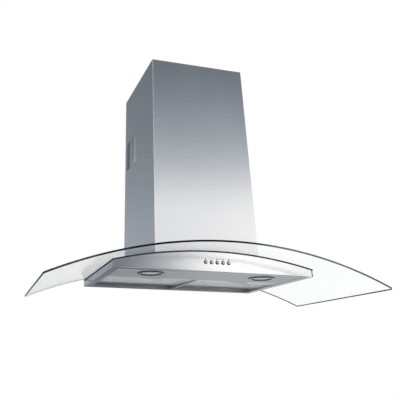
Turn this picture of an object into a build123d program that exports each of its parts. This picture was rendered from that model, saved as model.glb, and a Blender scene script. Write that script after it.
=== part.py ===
from build123d import *
from math import asin, atan2, cos, degrees, hypot, radians, sin, sqrt
import os

# Wall-hung chimney hood with an arched glass canopy. All sizes are in millimetres.
#
# The origin is on the wall, at the middle of the four wall-fixing holes. +X is to the right as
# seen from the room, +Y goes into the wall and +Z is up, so the hood lies at negative Y.
# Heights called "..._HEIGHT" are measured up from the underside of the body.

# ------------------------------------------------------------------ general
SHEET = 1.0              # stainless sheet of the body and the chimney covers
CLEAR = 0.1              # between fixed pieces that meet on a curve
SEAT = 0.3               # under a loose piece, and beside a moving one
RUNNING = 0.08           # radial clearance of a pin or stem in its hole

# ------------------------------------------------------------------ wall fixing
FIX_HEIGHT = 170.0       # the origin above the underside of the body
FIX_SPACING_X = 160.0
FIX_SPACING_Z = 120.0
FIX_HOLE_R = 4.0

# ------------------------------------------------------------------ body
BODY_WIDTH = 550.0
BODY_DEPTH = 375.0
RIM = 20.0               # width of the rim round the underside
UPSTAND = 12.0           # height of the rim's turned-up inner edge
PANEL_BEND_R = 2.5       # outside bend at the bottom of the front panel
PANEL_RETURN = 18.0      # how far that bend runs back under the body
FLANGE = 12.0            # hidden joining flanges
AIR_OPENING_SIDE_LAP = 13.0  # top sheet left under each side of the motor box
AIR_OPENING_END_LAP = 23.0
AIR_OPENING_R = 6.0

# ------------------------------------------------------------------ glass
GLASS_WIDTH = 900.0
GLASS_DEPTH = 480.0      # wall to the middle of the front edge
GLASS_BOW = 20.0         # the front corners lie this much nearer the wall
GLASS_THICK = 6.0
GLASS_RADIUS = 1175.0    # upper face
GLASS_CROWN_HEIGHT = 59.0
GLASS_CORNER_R = 5.0
GLASS_SCREW_HOLE_R = 4.0
NOTCH_GAP = 6.0          # between the notch in the glass and the motor box
NOTCH_CORNER_R = 8.0
SEAL_THICK = 2.2         # space between glass and body, filled by the seal
SEAL_WIDTH = 10.0

GLASS_SCREW_R = 2.5
GLASS_SCREW_HEAD_R = 5.0
GLASS_SCREW_HEAD_T = 3.5
GLASS_WASHER_R = 11.0
GLASS_WASHER_T = 1.5
GLASS_NUT_R = 4.6        # across corners, half
GLASS_NUT_T = 4.0
GLASS_SCREW_EDGE = 14.0  # from the notch to a screw
GLASS_SCREW_REAR_Y = 60.0
GLASS_SCREW_SPACING = 150.0

# ------------------------------------------------------------------ motor box
BOX_SIDE_SPACE = 35.0    # between the box and the sides of the chimney
BOX_DEPTH = 272.0
BOX_TOP_HEIGHT = 300.0
BOX_SHEET = 1.2
BOX_BEND_R = 3.0
BOX_SCREW_R = 2.0
BOX_SCREW_HEAD_R = 3.8
BOX_SCREW_HEAD_T = 2.2
BOX_SCREWS_A_SIDE = 2
BOX_SCREW_PITCH = 180.0

# ------------------------------------------------------------------ fan
FAN_HEIGHT = 168.0       # wheel centre
WHEEL_R = 80.0
WHEEL_WIDTH = 96.0
BLADE_COUNT = 24
BLADE_DEPTH = 14.0
BLADE_THICK = 1.2
BLADE_LEAD = 9.0         # degrees from a blade's inner edge to its outer edge
BLADE_HOLLOW = 2.6       # how far the blade's bend lies behind its chord
WHEEL_DISC_T = 2.0
WHEEL_RING_T = 2.5
HUB_R = 12.0
HUB_LENGTH = 24.0
SHAFT_R = 4.0
SHAFT_PROUD = 3.0
SCROLL_GAP = 8.0         # from the wheel to the first quarter of the four-centre volute
SCROLL_STEP = 9.0        # growth from each quarter to the next
SCROLL_SIDE_GAP = 4.0
SCROLL_WALL = 2.0
SCROLL_INLET_LAP = 4.0   # the inlets are this much smaller than the wheel's eye
SCROLL_FLANGE = 6.0
OUTLET_DEPTH = 100.0     # front to back, inside the neck
MOTOR_R = 42.0
MOTOR_GAP = 7.0          # from the motor to the wheel's disc
MOTOR_CAP_R = 30.0
MOTOR_CAP_T = 4.0
BRACKET_T = 3.0
BRACKET_RING_WIDTH = 14.0
BRACKET_RING_PROUD = 2.0  # the ring stands this far into the inlet
BRACKET_HUB_R = 20.0
BRACKET_ARM_WIDTH = 9.0
BRACKET_ARMS = 3

# ------------------------------------------------------------------ outlet
COLLAR_FROM_FRONT = 162.0  # from the front of the motor box
COLLAR_R = 75.0          # outside, for 150 mm duct
COLLAR_WALL = 2.5
COLLAR_LENGTH = 55.0
COLLAR_FLANGE_WIDTH = 11.0
COLLAR_FLANGE_T = 2.5
COLLAR_SCREW_R = 1.8
COLLAR_SCREW_HEAD_R = 3.4
COLLAR_SCREW_HEAD_T = 2.0
COLLAR_SCREWS = 4
FLAP_HEIGHT = 20.0       # hinge above the top of the motor box
FLAP_THICK = 1.5
FLAP_EDGE_GAP = 1.0
FLAP_LEDGE = 3.5
FLAP_LEDGE_T = 2.0
FLAP_PIN_R = 2.0
FLAP_BARREL_R = 4.0
FLAP_ROOT = 4.7          # from the hinge line to the free part of a flap
FLAP_BARREL_LENGTH = 24.0
FLAP_BARREL_X = 35.0     # the front flap's two barrels
FLAP_MID_BARREL_LENGTH = 40.0

# ------------------------------------------------------------------ electrics
CONTROL_WIDTH = 110.0
CONTROL_DEPTH = 60.0
CONTROL_TALL = 38.0
CONTROL_X = 46.0
CONTROL_GAP = 10.0       # to the collar's flange
CONTROL_WALL = 2.0
CONTROL_CORNER_R = 4.0
CONTROL_LID_T = 3.0
CONTROL_LID_LAP = 2.0
GLAND_X = 76.0
GLAND_BORE_R = 5.0
GLAND_R = 9.0
GLAND_NUT_R = 12.0
GLAND_NUT_T = 6.0
GLAND_LENGTH = 20.0
CAPACITOR_R = 17.5
CAPACITOR_TALL = 62.0
CAPACITOR_EDGE = 1.0
CAPACITOR_X = -62.0

# ------------------------------------------------------------------ chimney
COVER_WIDTH = 300.0
COVER_DEPTH = 320.0
COVER_TOP_HEIGHT = 640.0
COVER_FLANGE = 14.0
COVER_BEND_R = 2.0       # outside of the folded front corners
COVER_GAP = 1.0          # between the two covers
INNER_COVER_DROP = 4.0   # its top below that of the outer cover
SUPPORT_HEIGHT = 215.0
SUPPORT_DEPTH = 20.0
SUPPORT_LENGTH = 180.0
SUPPORT_SHEET = 1.5
VENT_ROWS = 9
VENT_COLUMNS = 2
VENT_LENGTH = 52.0
VENT_TALL = 5.8
VENT_PITCH = 10.7
VENT_COLUMN_GAP = 11.0
VENT_REAR = 22.0         # from the wall to the first column
VENT_TOP_HEIGHT = 462.5  # centre line of the top row

WALL_BRACKET_T = 1.5
WALL_BRACKET_HALF = 118.0
WALL_BRACKET_STEP = 12.5  # from the wall forward to the arms
WALL_BRACKET_REACH = 40.0
WALL_BRACKET_TALL = 25.0
WALL_BRACKET_DROP = 12.0
WALL_BRACKET_HOLE_R = 3.0
WALL_BRACKET_HOLE_SPACING = 180.0
RIVET_R = 2.0
RIVET_HEAD_R = 4.0
RIVET_HEAD_T = 1.2

# ------------------------------------------------------------------ controls
BUTTONS = ["button_off", "button_low", "button_middle", "button_high", "button_light"]
BUTTON_PITCH = 16.0
BUTTON_HEIGHT = 23.5
BUTTON_R = 3.3
BUTTON_PROUD = 3.0
BUTTON_TRAVEL = 2.5
BUTTON_CAP_LENGTH = 12.0
BUTTON_EDGE = 0.5
STEM_R = 1.8
STEM_REACH = 12.0        # how far a stem stands in the switch block
SLEEVE_WALL = 1.2
SLEEVE_PROUD = 0.6
SLEEVE_LENGTH = 10.0
GUIDE_T = 2.0
GUIDE_HALF_TALL = 9.0
GUIDE_END = 14.0         # from the last button to the end of the guide
GUIDE_POST_WIDTH = 5.0
SWITCH_GAP = 1.0         # left in front of and behind a button that is pushed in
SWITCH_LENGTH = 28.0

# ------------------------------------------------------------------ underside
LAMP_BAY_DEPTH = 146.0   # from the front of the body to the back of the lamp panel
LAMP_PANEL_INSET = 0.5    # the lamp panel lies this much above the rim
LAMP_PANEL_FLANGE = 9.0
BEAM_WIDTH = 10.0

LAMP_FROM_SIDE = 117.0
LAMP_FROM_FRONT = 67.0
LAMP_RING_R = 35.5
LAMP_RING_T = 2.5
LAMP_RING_EDGE = 1.2
LAMP_NECK_R = 30.8
LAMP_NECK_WALL = 1.8
LAMP_NECK_TALL = 10.0
LAMP_LIP = 2.5
LAMP_LENS_T = 2.0
LAMP_CAN_WALL = 1.2
LAMP_CAN_TALL = 22.0
LAMP_FIN_COUNT = 5
LAMP_FIN_TALL = 3.0
LAMP_FIN_PITCH = 9.0
LAMP_FIN_T = 1.5
LAMP_BOARD_T = 1.6
LAMP_BOARD_LIFT = 8.0
LAMP_CHIP_R = 7.0
LAMP_CHIP_T = 1.0

# ------------------------------------------------------------------ filters
FILTER_THICK = 8.0
FILTER_SIDE_GAP = 0.8
FILTER_REAR_GAP = 1.3
FILTER_FRONT_RECESS = 0.8  # lower face above the underside of the body, at the front
FILTER_HEADROOM = 4.6      # from its rear corners up to the top sheet
FILTER_BORDER = 13.0
FILTER_FRONT_BORDER = 26.0
FILTER_CORNER_R = 6.0
FILTER_SKIN = 1.2
FILTER_GROOVE = 5.0
MESH_THICK = 3.0
MESH_COLUMNS = 9
MESH_ROWS = 6
MESH_STRAND = 3.0
TAB_WIDTH = 14.0
TAB_THICK = 1.6
TAB_LIFT = 0.2
TAB_REACH = 4.0
TAB_SPACING = 140.0
TAB_SIDE_GAP = 0.8
LATCH_POCKET_WIDTH = 60.0
LATCH_POCKET_LENGTH = 16.0
LATCH_BAR = 4.0            # frame in front of the pocket
LATCH_TRAVEL = 4.0
LATCH_THICK = 4.5
LATCH_TONGUE_WIDTH = 24.0
LATCH_TONGUE_T = 2.0
LATCH_TONGUE_PROUD = 0.4
LATCH_GRIP_WIDTH = 44.0
LATCH_GRIP_DEEP = 3.0
LATCH_GRIP_LENGTH = 6.5

# ------------------------------------------------------------------ worked out
BASE = -FIX_HEIGHT
ARCH_CENTRE_Z = BASE + GLASS_CROWN_HEIGHT - GLASS_RADIUS
GLASS_UNDER_R = GLASS_RADIUS - GLASS_THICK
BODY_TOP_R = GLASS_UNDER_R - SEAL_THICK
TOP_SHEET_UNDER_R = BODY_TOP_R - SHEET

BODY_HALF = BODY_WIDTH / 2
BOX_WIDTH = COVER_WIDTH - 2 * BOX_SIDE_SPACE
OPENING_HALF = BODY_HALF - RIM
PANEL_BACK = BODY_DEPTH - SHEET        # distance of the panel's rear face from the wall
BOX_HALF = BOX_WIDTH / 2
BOX_TOP = BASE + BOX_TOP_HEIGHT
NOTCH_HALF = BOX_HALF + NOTCH_GAP
NOTCH_DEPTH = BOX_DEPTH + NOTCH_GAP
GLASS_SIDE_DEPTH = GLASS_DEPTH - GLASS_BOW

AIR_OPENING_WIDTH = BOX_WIDTH - 2 * AIR_OPENING_SIDE_LAP
AIR_OPENING_DEPTH = BOX_DEPTH - 2 * AIR_OPENING_END_LAP

COLLAR_Y = COLLAR_FROM_FRONT - BOX_DEPTH
COLLAR_FLANGE_R = COLLAR_R + COLLAR_FLANGE_WIDTH
ELECTRICS_Y = COLLAR_Y - COLLAR_FLANGE_R - CONTROL_GAP - CONTROL_DEPTH / 2

FAN_Z = BASE + FAN_HEIGHT
BLADE_INNER_R = WHEEL_R - BLADE_DEPTH
SCROLL_START_R = WHEEL_R + SCROLL_GAP
SCROLL_WIDTH = WHEEL_WIDTH + 2 * SCROLL_SIDE_GAP
SCROLL_INLET_R = BLADE_INNER_R - SCROLL_INLET_LAP
SCROLL_LAST_R = SCROLL_START_R + 2 * SCROLL_STEP
OUTLET_REAR_Y = COLLAR_Y + OUTLET_DEPTH / 2
OUTLET_FRONT_Y = COLLAR_Y - OUTLET_DEPTH / 2
FAN_Y = OUTLET_REAR_Y - SCROLL_LAST_R - SCROLL_STEP / 2
SCROLL_HALF = SCROLL_WIDTH / 2
MOTOR_LENGTH = SCROLL_HALF + SCROLL_WALL - WHEEL_DISC_T / 2 - MOTOR_GAP
BRACKET_RING_INNER_R = SCROLL_INLET_R - BRACKET_RING_PROUD
BRACKET_RING_R = BRACKET_RING_INNER_R + BRACKET_RING_WIDTH
COLLAR_BORE_R = COLLAR_R - COLLAR_WALL
FLAP_Z = BOX_TOP + FLAP_HEIGHT
FLAP_R = COLLAR_BORE_R - FLAP_EDGE_GAP

COVER_HALF = COVER_WIDTH / 2
COVER_TOP = BASE + COVER_TOP_HEIGHT
INNER_HALF = COVER_HALF - SHEET - COVER_GAP
INNER_FRONT = COVER_DEPTH - SHEET - COVER_GAP
INNER_REAR = SHEET + COVER_GAP
INNER_BOTTOM = BASE + SUPPORT_HEIGHT + SEAT
INNER_TOP = COVER_TOP - INNER_COVER_DROP

BUTTON_Z = BASE + BUTTON_HEIGHT
BUTTON_X = [BUTTON_PITCH * (i - (len(BUTTONS) - 1) / 2) for i in range(len(BUTTONS))]
SLEEVE_BORE_R = BUTTON_R + SEAT
SLEEVE_R = SLEEVE_BORE_R + SLEEVE_WALL
PANEL_HOLE_R = SLEEVE_R + CLEAR
GUIDE_HALF = BUTTON_X[-1] + GUIDE_END
SWITCH_FRONT_Y = BODY_DEPTH + BUTTON_PROUD - BUTTON_CAP_LENGTH - BUTTON_TRAVEL - SWITCH_GAP
SOCKET_DEPTH = STEM_REACH + BUTTON_TRAVEL + SWITCH_GAP
STEM_LENGTH = STEM_REACH + BUTTON_TRAVEL + SWITCH_GAP

LAMP_X = BODY_HALF - LAMP_FROM_SIDE
LAMP_Y = LAMP_FROM_FRONT - BODY_DEPTH
FILTER_BAY_FRONT = BODY_DEPTH - LAMP_BAY_DEPTH
BEAM_HALF = BEAM_WIDTH / 2
FILTER_WIDTH = OPENING_HALF - BEAM_HALF - 2 * FILTER_SIDE_GAP
FILTER_X = (OPENING_HALF + BEAM_HALF) / 2
FILTER_PLAN = FILTER_BAY_FRONT - FILTER_SIDE_GAP - RIM - FILTER_REAR_GAP
LAMP_BASE = BASE + LAMP_PANEL_INSET
LAMP_HOLE_R = LAMP_NECK_R + CLEAR
LAMP_NECK_TOP = LAMP_BASE + LAMP_NECK_TALL


def arch_z(x, radius):
    """Height of an arch of this radius, about the glass's own centre, at x."""
    return ARCH_CENTRE_Z + sqrt(radius**2 - x**2)


def block(x_min, x_max, y_min, y_max, mode=Mode.ADD):
    """A rectangle of the current sketch, given by its sides."""
    with Locations(((x_min + x_max) / 2, (y_min + y_max) / 2)):
        Rectangle(x_max - x_min, y_max - y_min, mode=mode)


def arch_face(half_width, bottom, radius):
    """A face with a flat bottom, upright sides and an arched top."""
    side = arch_z(half_width, radius)
    with BuildLine() as outline:
        Polyline((half_width, side), (half_width, bottom), (-half_width, bottom), (-half_width, side))
        ThreePointArc((-half_width, side), (0, arch_z(0, radius)), (half_width, side))
    make_face(outline.edges())


def arch_band(half_width, outer_radius, inner_radius):
    """A strip between two arches, with upright ends."""
    outer_side = arch_z(half_width, outer_radius)
    inner_side = arch_z(half_width, inner_radius)
    with BuildLine() as outline:
        ThreePointArc((-half_width, outer_side), (0, arch_z(0, outer_radius)), (half_width, outer_side))
        Line((half_width, outer_side), (half_width, inner_side))
        ThreePointArc((half_width, inner_side), (0, arch_z(0, inner_radius)), (-half_width, inner_side))
        Line((-half_width, inner_side), (-half_width, outer_side))
    make_face(outline.edges())


def radial_plane(x, y, radius):
    """A plane square to the radius that meets the top sheet at (x, y), this far from the centre."""
    lean = asin(x / BODY_TOP_R)
    return Plane(
        origin=(radius * sin(lean), y, ARCH_CENTRE_Z + radius * cos(lean)),
        x_dir=(cos(lean), 0, -sin(lean)),
        z_dir=(sin(lean), 0, cos(lean)),
    )


def disc(plane, radius, amount, mode=Mode.ADD):
    """A round slug on a plane."""
    with BuildSketch(plane) as face:
        Circle(radius)
    extrude(face.sketch, amount=amount, mode=mode)


def hexagon(plane, radius, amount):
    """A screw's six-sided head on a plane; radius is half its size across the corners."""
    with BuildSketch(plane) as face:
        RegularPolygon(radius, 6)
    extrude(face.sketch, amount=amount)


def finish(part, name):
    """Label a finished piece and write it."""
    part.label = name
    export_step(part, f"parts/{name}.step")


# The filters' lower face rises from the front of their bay to the rear.
FILTER_REAR_RECESS = arch_z(OPENING_HALF, TOP_SHEET_UNDER_R) - BASE - FILTER_THICK - FILTER_HEADROOM
FILTER_RISE = FILTER_REAR_RECESS - FILTER_FRONT_RECESS
FILTER_TILT = atan2(FILTER_RISE, FILTER_PLAN)
FILTER_LENGTH = hypot(FILTER_RISE, FILTER_PLAN)
WINDOW_WIDTH = FILTER_WIDTH - 2 * FILTER_BORDER
WINDOW_LENGTH = FILTER_LENGTH - FILTER_BORDER - FILTER_FRONT_BORDER
WINDOW_Y = -FILTER_BORDER - WINDOW_LENGTH / 2
LATCH_POCKET_Y = -FILTER_LENGTH + LATCH_BAR + LATCH_POCKET_LENGTH / 2

GLASS_SCREW_PLACES = [
    (side * (NOTCH_HALF + GLASS_SCREW_EDGE), -GLASS_SCREW_REAR_Y - i * GLASS_SCREW_SPACING)
    for side in (-1, 1)
    for i in range(2)
]
BOX_SCREW_X = BOX_HALF - BOX_SHEET - (FLANGE - BOX_SHEET) / 2
BOX_SCREW_PLACES = [
    (side * BOX_SCREW_X, -BOX_DEPTH / 2 + BOX_SCREW_PITCH * (i - (BOX_SCREWS_A_SIDE - 1) / 2))
    for side in (-1, 1)
    for i in range(BOX_SCREWS_A_SIDE)
]

os.makedirs("parts", exist_ok=True)

# ================================================================== body
# Folded frame: two sides and the back, with the rim and its upstand along the bottom.
FILTER_CENTRES = {"left": -FILTER_X, "right": FILTER_X}
TAB_BOTTOM = FILTER_REAR_RECESS + TAB_LIFT
with BuildPart() as canopy_frame:
    with BuildSketch(Plane.XZ):
        arch_face(BODY_HALF, BASE, TOP_SHEET_UNDER_R - CLEAR)
    extrude(amount=PANEL_BACK)
    with BuildSketch(Plane.XY.offset(BASE + SHEET)):
        block(-BODY_HALF + SHEET, BODY_HALF - SHEET, -PANEL_BACK, -SHEET)
    extrude(amount=GLASS_CROWN_HEIGHT, mode=Mode.SUBTRACT)
    with BuildSketch(Plane.XY.offset(BASE)):
        block(-OPENING_HALF - SHEET, OPENING_HALF + SHEET, -PANEL_BACK, -RIM + SHEET)
    extrude(amount=UPSTAND)
    with BuildSketch(Plane.XY.offset(BASE)):
        block(-OPENING_HALF, OPENING_HALF, -PANEL_BACK, -RIM)
    extrude(amount=UPSTAND, mode=Mode.SUBTRACT)
    # Notches that the filters' rear tabs hook into.
    with BuildSketch(Plane.XZ.offset(RIM - SHEET)):
        for centre in FILTER_CENTRES.values():
            for side in (-1, 1):
                tab_x = centre + side * TAB_SPACING / 2
                reach = TAB_WIDTH / 2 + TAB_SIDE_GAP
                block(tab_x - reach, tab_x + reach, BASE + TAB_BOTTOM - SEAT, BASE + UPSTAND)
    extrude(amount=SHEET, mode=Mode.SUBTRACT)
finish(canopy_frame.part, "canopy_frame")

# Arched top sheet, with the opening under the motor box and the screw holes.
with BuildPart() as canopy_top:
    with BuildSketch(Plane.XZ):
        arch_band(BODY_HALF, BODY_TOP_R, TOP_SHEET_UNDER_R)
    extrude(amount=PANEL_BACK)
    with BuildSketch(Plane.XY.offset(BASE)):
        with Locations((0, -BOX_DEPTH / 2)):
            RectangleRounded(AIR_OPENING_WIDTH, AIR_OPENING_DEPTH, AIR_OPENING_R)
    extrude(amount=GLASS_CROWN_HEIGHT, mode=Mode.SUBTRACT)
    for x, y in GLASS_SCREW_PLACES:
        disc(radial_plane(x, y, BODY_TOP_R + CLEAR), GLASS_SCREW_R + CLEAR, -3 * SHEET, Mode.SUBTRACT)
    for x, y in BOX_SCREW_PLACES:
        disc(radial_plane(x, y, BODY_TOP_R + CLEAR), BOX_SCREW_R + CLEAR, -3 * SHEET, Mode.SUBTRACT)
finish(canopy_top.part, "canopy_top")

# Front panel: arched face, rolled bottom edge, joining flange under the top sheet, button holes.
RETURN_HALF = OPENING_HALF - CLEAR
with BuildPart() as front_panel:
    with BuildSketch(Plane.XZ.offset(PANEL_BACK)):
        arch_face(BODY_HALF, BASE, BODY_TOP_R)
        block(-RETURN_HALF, RETURN_HALF, BASE, BASE + PANEL_BEND_R, Mode.SUBTRACT)
        for x in BUTTON_X:
            with Locations((x, BUTTON_Z)):
                Circle(PANEL_HOLE_R, mode=Mode.SUBTRACT)
    extrude(amount=SHEET)
    with BuildSketch(Plane.YZ.offset(-RETURN_HALF)):
        bend_y = -BODY_DEPTH + PANEL_BEND_R
        bend_z = BASE + PANEL_BEND_R
        return_y = -BODY_DEPTH + PANEL_RETURN
        inside_r = PANEL_BEND_R - SHEET
        with BuildLine():
            RadiusArc((-BODY_DEPTH, bend_z), (bend_y, BASE), -PANEL_BEND_R)
            Polyline((bend_y, BASE), (return_y, BASE), (return_y, BASE + SHEET), (bend_y, BASE + SHEET))
            RadiusArc((bend_y, BASE + SHEET), (bend_y - inside_r, bend_z), inside_r)
            Line((bend_y - inside_r, bend_z), (-BODY_DEPTH, bend_z))
        make_face()
    extrude(amount=2 * RETURN_HALF)
    with BuildSketch(Plane.XZ.offset(PANEL_BACK - FLANGE)):
        arch_band(BODY_HALF - FLANGE, TOP_SHEET_UNDER_R - CLEAR, TOP_SHEET_UNDER_R - CLEAR - SHEET)
    extrude(amount=FLANGE)
finish(front_panel.part, "front_panel")

# Lamp panel: a shallow tray turned up on all four sides.
LAMP_HOLE_PLACES = [(side * LAMP_X, LAMP_Y) for side in (-1, 1)]
with BuildPart() as lamp_panel:
    tray_front = -BODY_DEPTH + PANEL_RETURN + CLEAR
    with BuildSketch(Plane.XY.offset(LAMP_BASE)):
        block(-RETURN_HALF, RETURN_HALF, tray_front, -FILTER_BAY_FRONT)
    extrude(amount=LAMP_PANEL_FLANGE)
    with BuildSketch(Plane.XY.offset(LAMP_BASE + SHEET)):
        block(
            -RETURN_HALF + SHEET,
            RETURN_HALF - SHEET,
            tray_front + SHEET,
            -FILTER_BAY_FRONT - SHEET,
        )
    extrude(amount=LAMP_PANEL_FLANGE, mode=Mode.SUBTRACT)
    with BuildSketch(Plane.XY.offset(LAMP_BASE)):
        with Locations(*LAMP_HOLE_PLACES):
            Circle(LAMP_HOLE_R)
    extrude(amount=SHEET, mode=Mode.SUBTRACT)
finish(lamp_panel.part, "lamp_panel")

# Beam between the filters: a channel open at the top.
with BuildPart() as centre_beam:
    beam_length = FILTER_BAY_FRONT - RIM - 2 * CLEAR
    with BuildSketch(Plane.XZ.offset(RIM + CLEAR)):
        block(-BEAM_HALF, BEAM_HALF, BASE, BASE + UPSTAND)
        block(-BEAM_HALF + SHEET, BEAM_HALF - SHEET, BASE + SHEET, BASE + UPSTAND, Mode.SUBTRACT)
    extrude(amount=beam_length)
finish(centre_beam.part, "centre_beam")

# ================================================================== glass
with BuildPart() as glass_canopy:
    half_angle = degrees(asin(GLASS_WIDTH / 2 / GLASS_RADIUS))
    with BuildSketch(Plane.XZ):
        with BuildLine():
            upper = CenterArc((0, ARCH_CENTRE_Z), GLASS_RADIUS, 90 - half_angle, 2 * half_angle)
            under = CenterArc((0, ARCH_CENTRE_Z), GLASS_UNDER_R, 90 - half_angle, 2 * half_angle)
            Line(upper @ 0, under @ 0)
            Line(upper @ 1, under @ 1)
        make_face()
    extrude(amount=GLASS_DEPTH)
    with BuildSketch(Plane.XY.offset(BASE + GLASS_CROWN_HEIGHT)):
        half = GLASS_WIDTH / 2
        with BuildLine():
            Polyline((-half, -GLASS_SIDE_DEPTH), (-half, 0), (half, 0), (half, -GLASS_SIDE_DEPTH))
            ThreePointArc((half, -GLASS_SIDE_DEPTH), (0, -GLASS_DEPTH), (-half, -GLASS_SIDE_DEPTH))
        outline = make_face()
        fillet(outline.vertices().group_by(Axis.Y)[0], radius=GLASS_CORNER_R)
    extrude(amount=-GLASS_RADIUS / 2, mode=Mode.INTERSECT)
    # Notch for the motor box, open at the rear edge.
    with BuildSketch(Plane.XY.offset(BASE)):
        with Locations((0, -NOTCH_DEPTH / 2 + NOTCH_CORNER_R)):
            RectangleRounded(2 * NOTCH_HALF, NOTCH_DEPTH + 2 * NOTCH_CORNER_R, NOTCH_CORNER_R)
    extrude(amount=GLASS_CROWN_HEIGHT + GLASS_THICK, mode=Mode.SUBTRACT)
    for x, y in GLASS_SCREW_PLACES:
        disc(radial_plane(x, y, GLASS_RADIUS + CLEAR), GLASS_SCREW_HOLE_R, -2 * GLASS_THICK, Mode.SUBTRACT)
finish(glass_canopy.part, "glass_canopy")

# Rubber seal round the edge of the body, broken only where the motor box stands.
with BuildPart() as glass_seal:
    with BuildSketch(Plane.XZ):
        arch_band(BODY_HALF, GLASS_UNDER_R - CLEAR, BODY_TOP_R + CLEAR)
    extrude(amount=BODY_DEPTH)
    with BuildSketch(Plane.XY.offset(BASE)):
        block(
            -BODY_HALF + SEAL_WIDTH, BODY_HALF - SEAL_WIDTH, -BODY_DEPTH + SEAL_WIDTH, -SEAL_WIDTH
        )
        block(-NOTCH_HALF, NOTCH_HALF, -NOTCH_DEPTH, 0)
    extrude(amount=GLASS_CROWN_HEIGHT, mode=Mode.SUBTRACT)
finish(glass_seal.part, "glass_seal")

with BuildPart() as glass_pads:
    for x, y in GLASS_SCREW_PLACES:
        pad_plane = radial_plane(x, y, BODY_TOP_R + CLEAR)
        with BuildSketch(pad_plane):
            Circle(GLASS_WASHER_R)
            Circle(GLASS_SCREW_R + CLEAR, mode=Mode.SUBTRACT)
        extrude(amount=SEAL_THICK - 2 * CLEAR)
finish(glass_pads.part, "glass_pads")

with BuildPart() as glass_screws:
    nut_seat_r = TOP_SHEET_UNDER_R - CLEAR
    for x, y in GLASS_SCREW_PLACES:
        washer_plane = radial_plane(x, y, GLASS_RADIUS + CLEAR)
        disc(washer_plane, GLASS_WASHER_R, GLASS_WASHER_T)
        hexagon(washer_plane.offset(GLASS_WASHER_T), GLASS_SCREW_HEAD_R, GLASS_SCREW_HEAD_T)
        disc(washer_plane, GLASS_SCREW_R, nut_seat_r - GLASS_NUT_T - SHEET - GLASS_RADIUS)
finish(glass_screws.part, "glass_screws")

with BuildPart() as glass_nuts:
    for x, y in GLASS_SCREW_PLACES:
        nut_plane = radial_plane(x, y, TOP_SHEET_UNDER_R - CLEAR)
        with BuildSketch(nut_plane):
            RegularPolygon(GLASS_NUT_R, 6)
            Circle(GLASS_SCREW_R + CLEAR / 2, mode=Mode.SUBTRACT)
        extrude(amount=-GLASS_NUT_T)
finish(glass_nuts.part, "glass_nuts")

# ================================================================== motor box
with BuildPart() as motor_box:
    with BuildSketch(Plane.XY.offset(BASE)):
        block(-BOX_HALF, BOX_HALF, -BOX_DEPTH, 0)
    extrude(amount=BOX_TOP_HEIGHT)
    fillet(motor_box.edges().filter_by(Axis.Z).group_by(Axis.Y)[0], radius=BOX_BEND_R)
    with BuildSketch(Plane.XY.offset(BASE)):
        block(-BOX_HALF + BOX_SHEET, BOX_HALF - BOX_SHEET, -BOX_DEPTH + BOX_SHEET, -BOX_SHEET)
    extrude(amount=BOX_TOP_HEIGHT - BOX_SHEET, mode=Mode.SUBTRACT)
    # The lower edge follows the top sheet.
    with BuildSketch(Plane.XZ):
        arch_face(BOX_WIDTH, BASE, BODY_TOP_R + CLEAR)
    extrude(amount=BOX_DEPTH, mode=Mode.SUBTRACT)
    with BuildSketch(Plane.XZ):
        arch_band(BOX_HALF - CLEAR, BODY_TOP_R + CLEAR + BOX_SHEET, BODY_TOP_R + CLEAR)
    extrude(amount=BOX_DEPTH - BOX_BEND_R)
    with BuildSketch(Plane.XY.offset(BASE)):
        block(-BOX_HALF + FLANGE, BOX_HALF - FLANGE, -BOX_DEPTH + FLANGE, -FLANGE)
    extrude(amount=GLASS_CROWN_HEIGHT, mode=Mode.SUBTRACT)
    for x, y in BOX_SCREW_PLACES:
        disc(radial_plane(x, y, BODY_TOP_R), BOX_SCREW_R + CLEAR, 3 * BOX_SHEET, Mode.SUBTRACT)
    with BuildSketch(Plane.XY.offset(BOX_TOP)):
        with Locations((0, COLLAR_Y)):
            Circle(COLLAR_BORE_R)
            with PolarLocations((COLLAR_R + COLLAR_FLANGE_R) / 2, COLLAR_SCREWS, start_angle=45):
                Circle(COLLAR_SCREW_R + CLEAR)
    extrude(amount=-BOX_SHEET, mode=Mode.SUBTRACT)
    with BuildSketch(Plane.XZ):
        with GridLocations(FIX_SPACING_X, FIX_SPACING_Z, 2, 2):
            Circle(FIX_HOLE_R)
    extrude(amount=BOX_SHEET, mode=Mode.SUBTRACT)
finish(motor_box.part, "motor_box")

with BuildPart() as box_screws:
    for x, y in BOX_SCREW_PLACES:
        head_plane = radial_plane(x, y, BODY_TOP_R + CLEAR + BOX_SHEET + CLEAR)
        hexagon(head_plane, BOX_SCREW_HEAD_R, BOX_SCREW_HEAD_T)
        disc(head_plane, BOX_SCREW_R, -BOX_SHEET - 3 * SHEET)
finish(box_screws.part, "box_screws")

# ================================================================== fan
# Four-centre volute: each quarter turn has its own centre, on a square of side SCROLL_STEP.
FIRST_CENTRE = (FAN_Y - SCROLL_STEP / 2, FAN_Z - SCROLL_STEP / 2)
SECOND_R = SCROLL_START_R + SCROLL_STEP
LAST_CENTRE = (FAN_Y + SCROLL_STEP / 2, FAN_Z + SCROLL_STEP / 2)
TONGUE_Z = FIRST_CENTRE[1] + sqrt(SCROLL_START_R**2 - (OUTLET_FRONT_Y - FIRST_CENTRE[0]) ** 2)
NECK_TOP = BOX_TOP - BOX_SHEET


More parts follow.
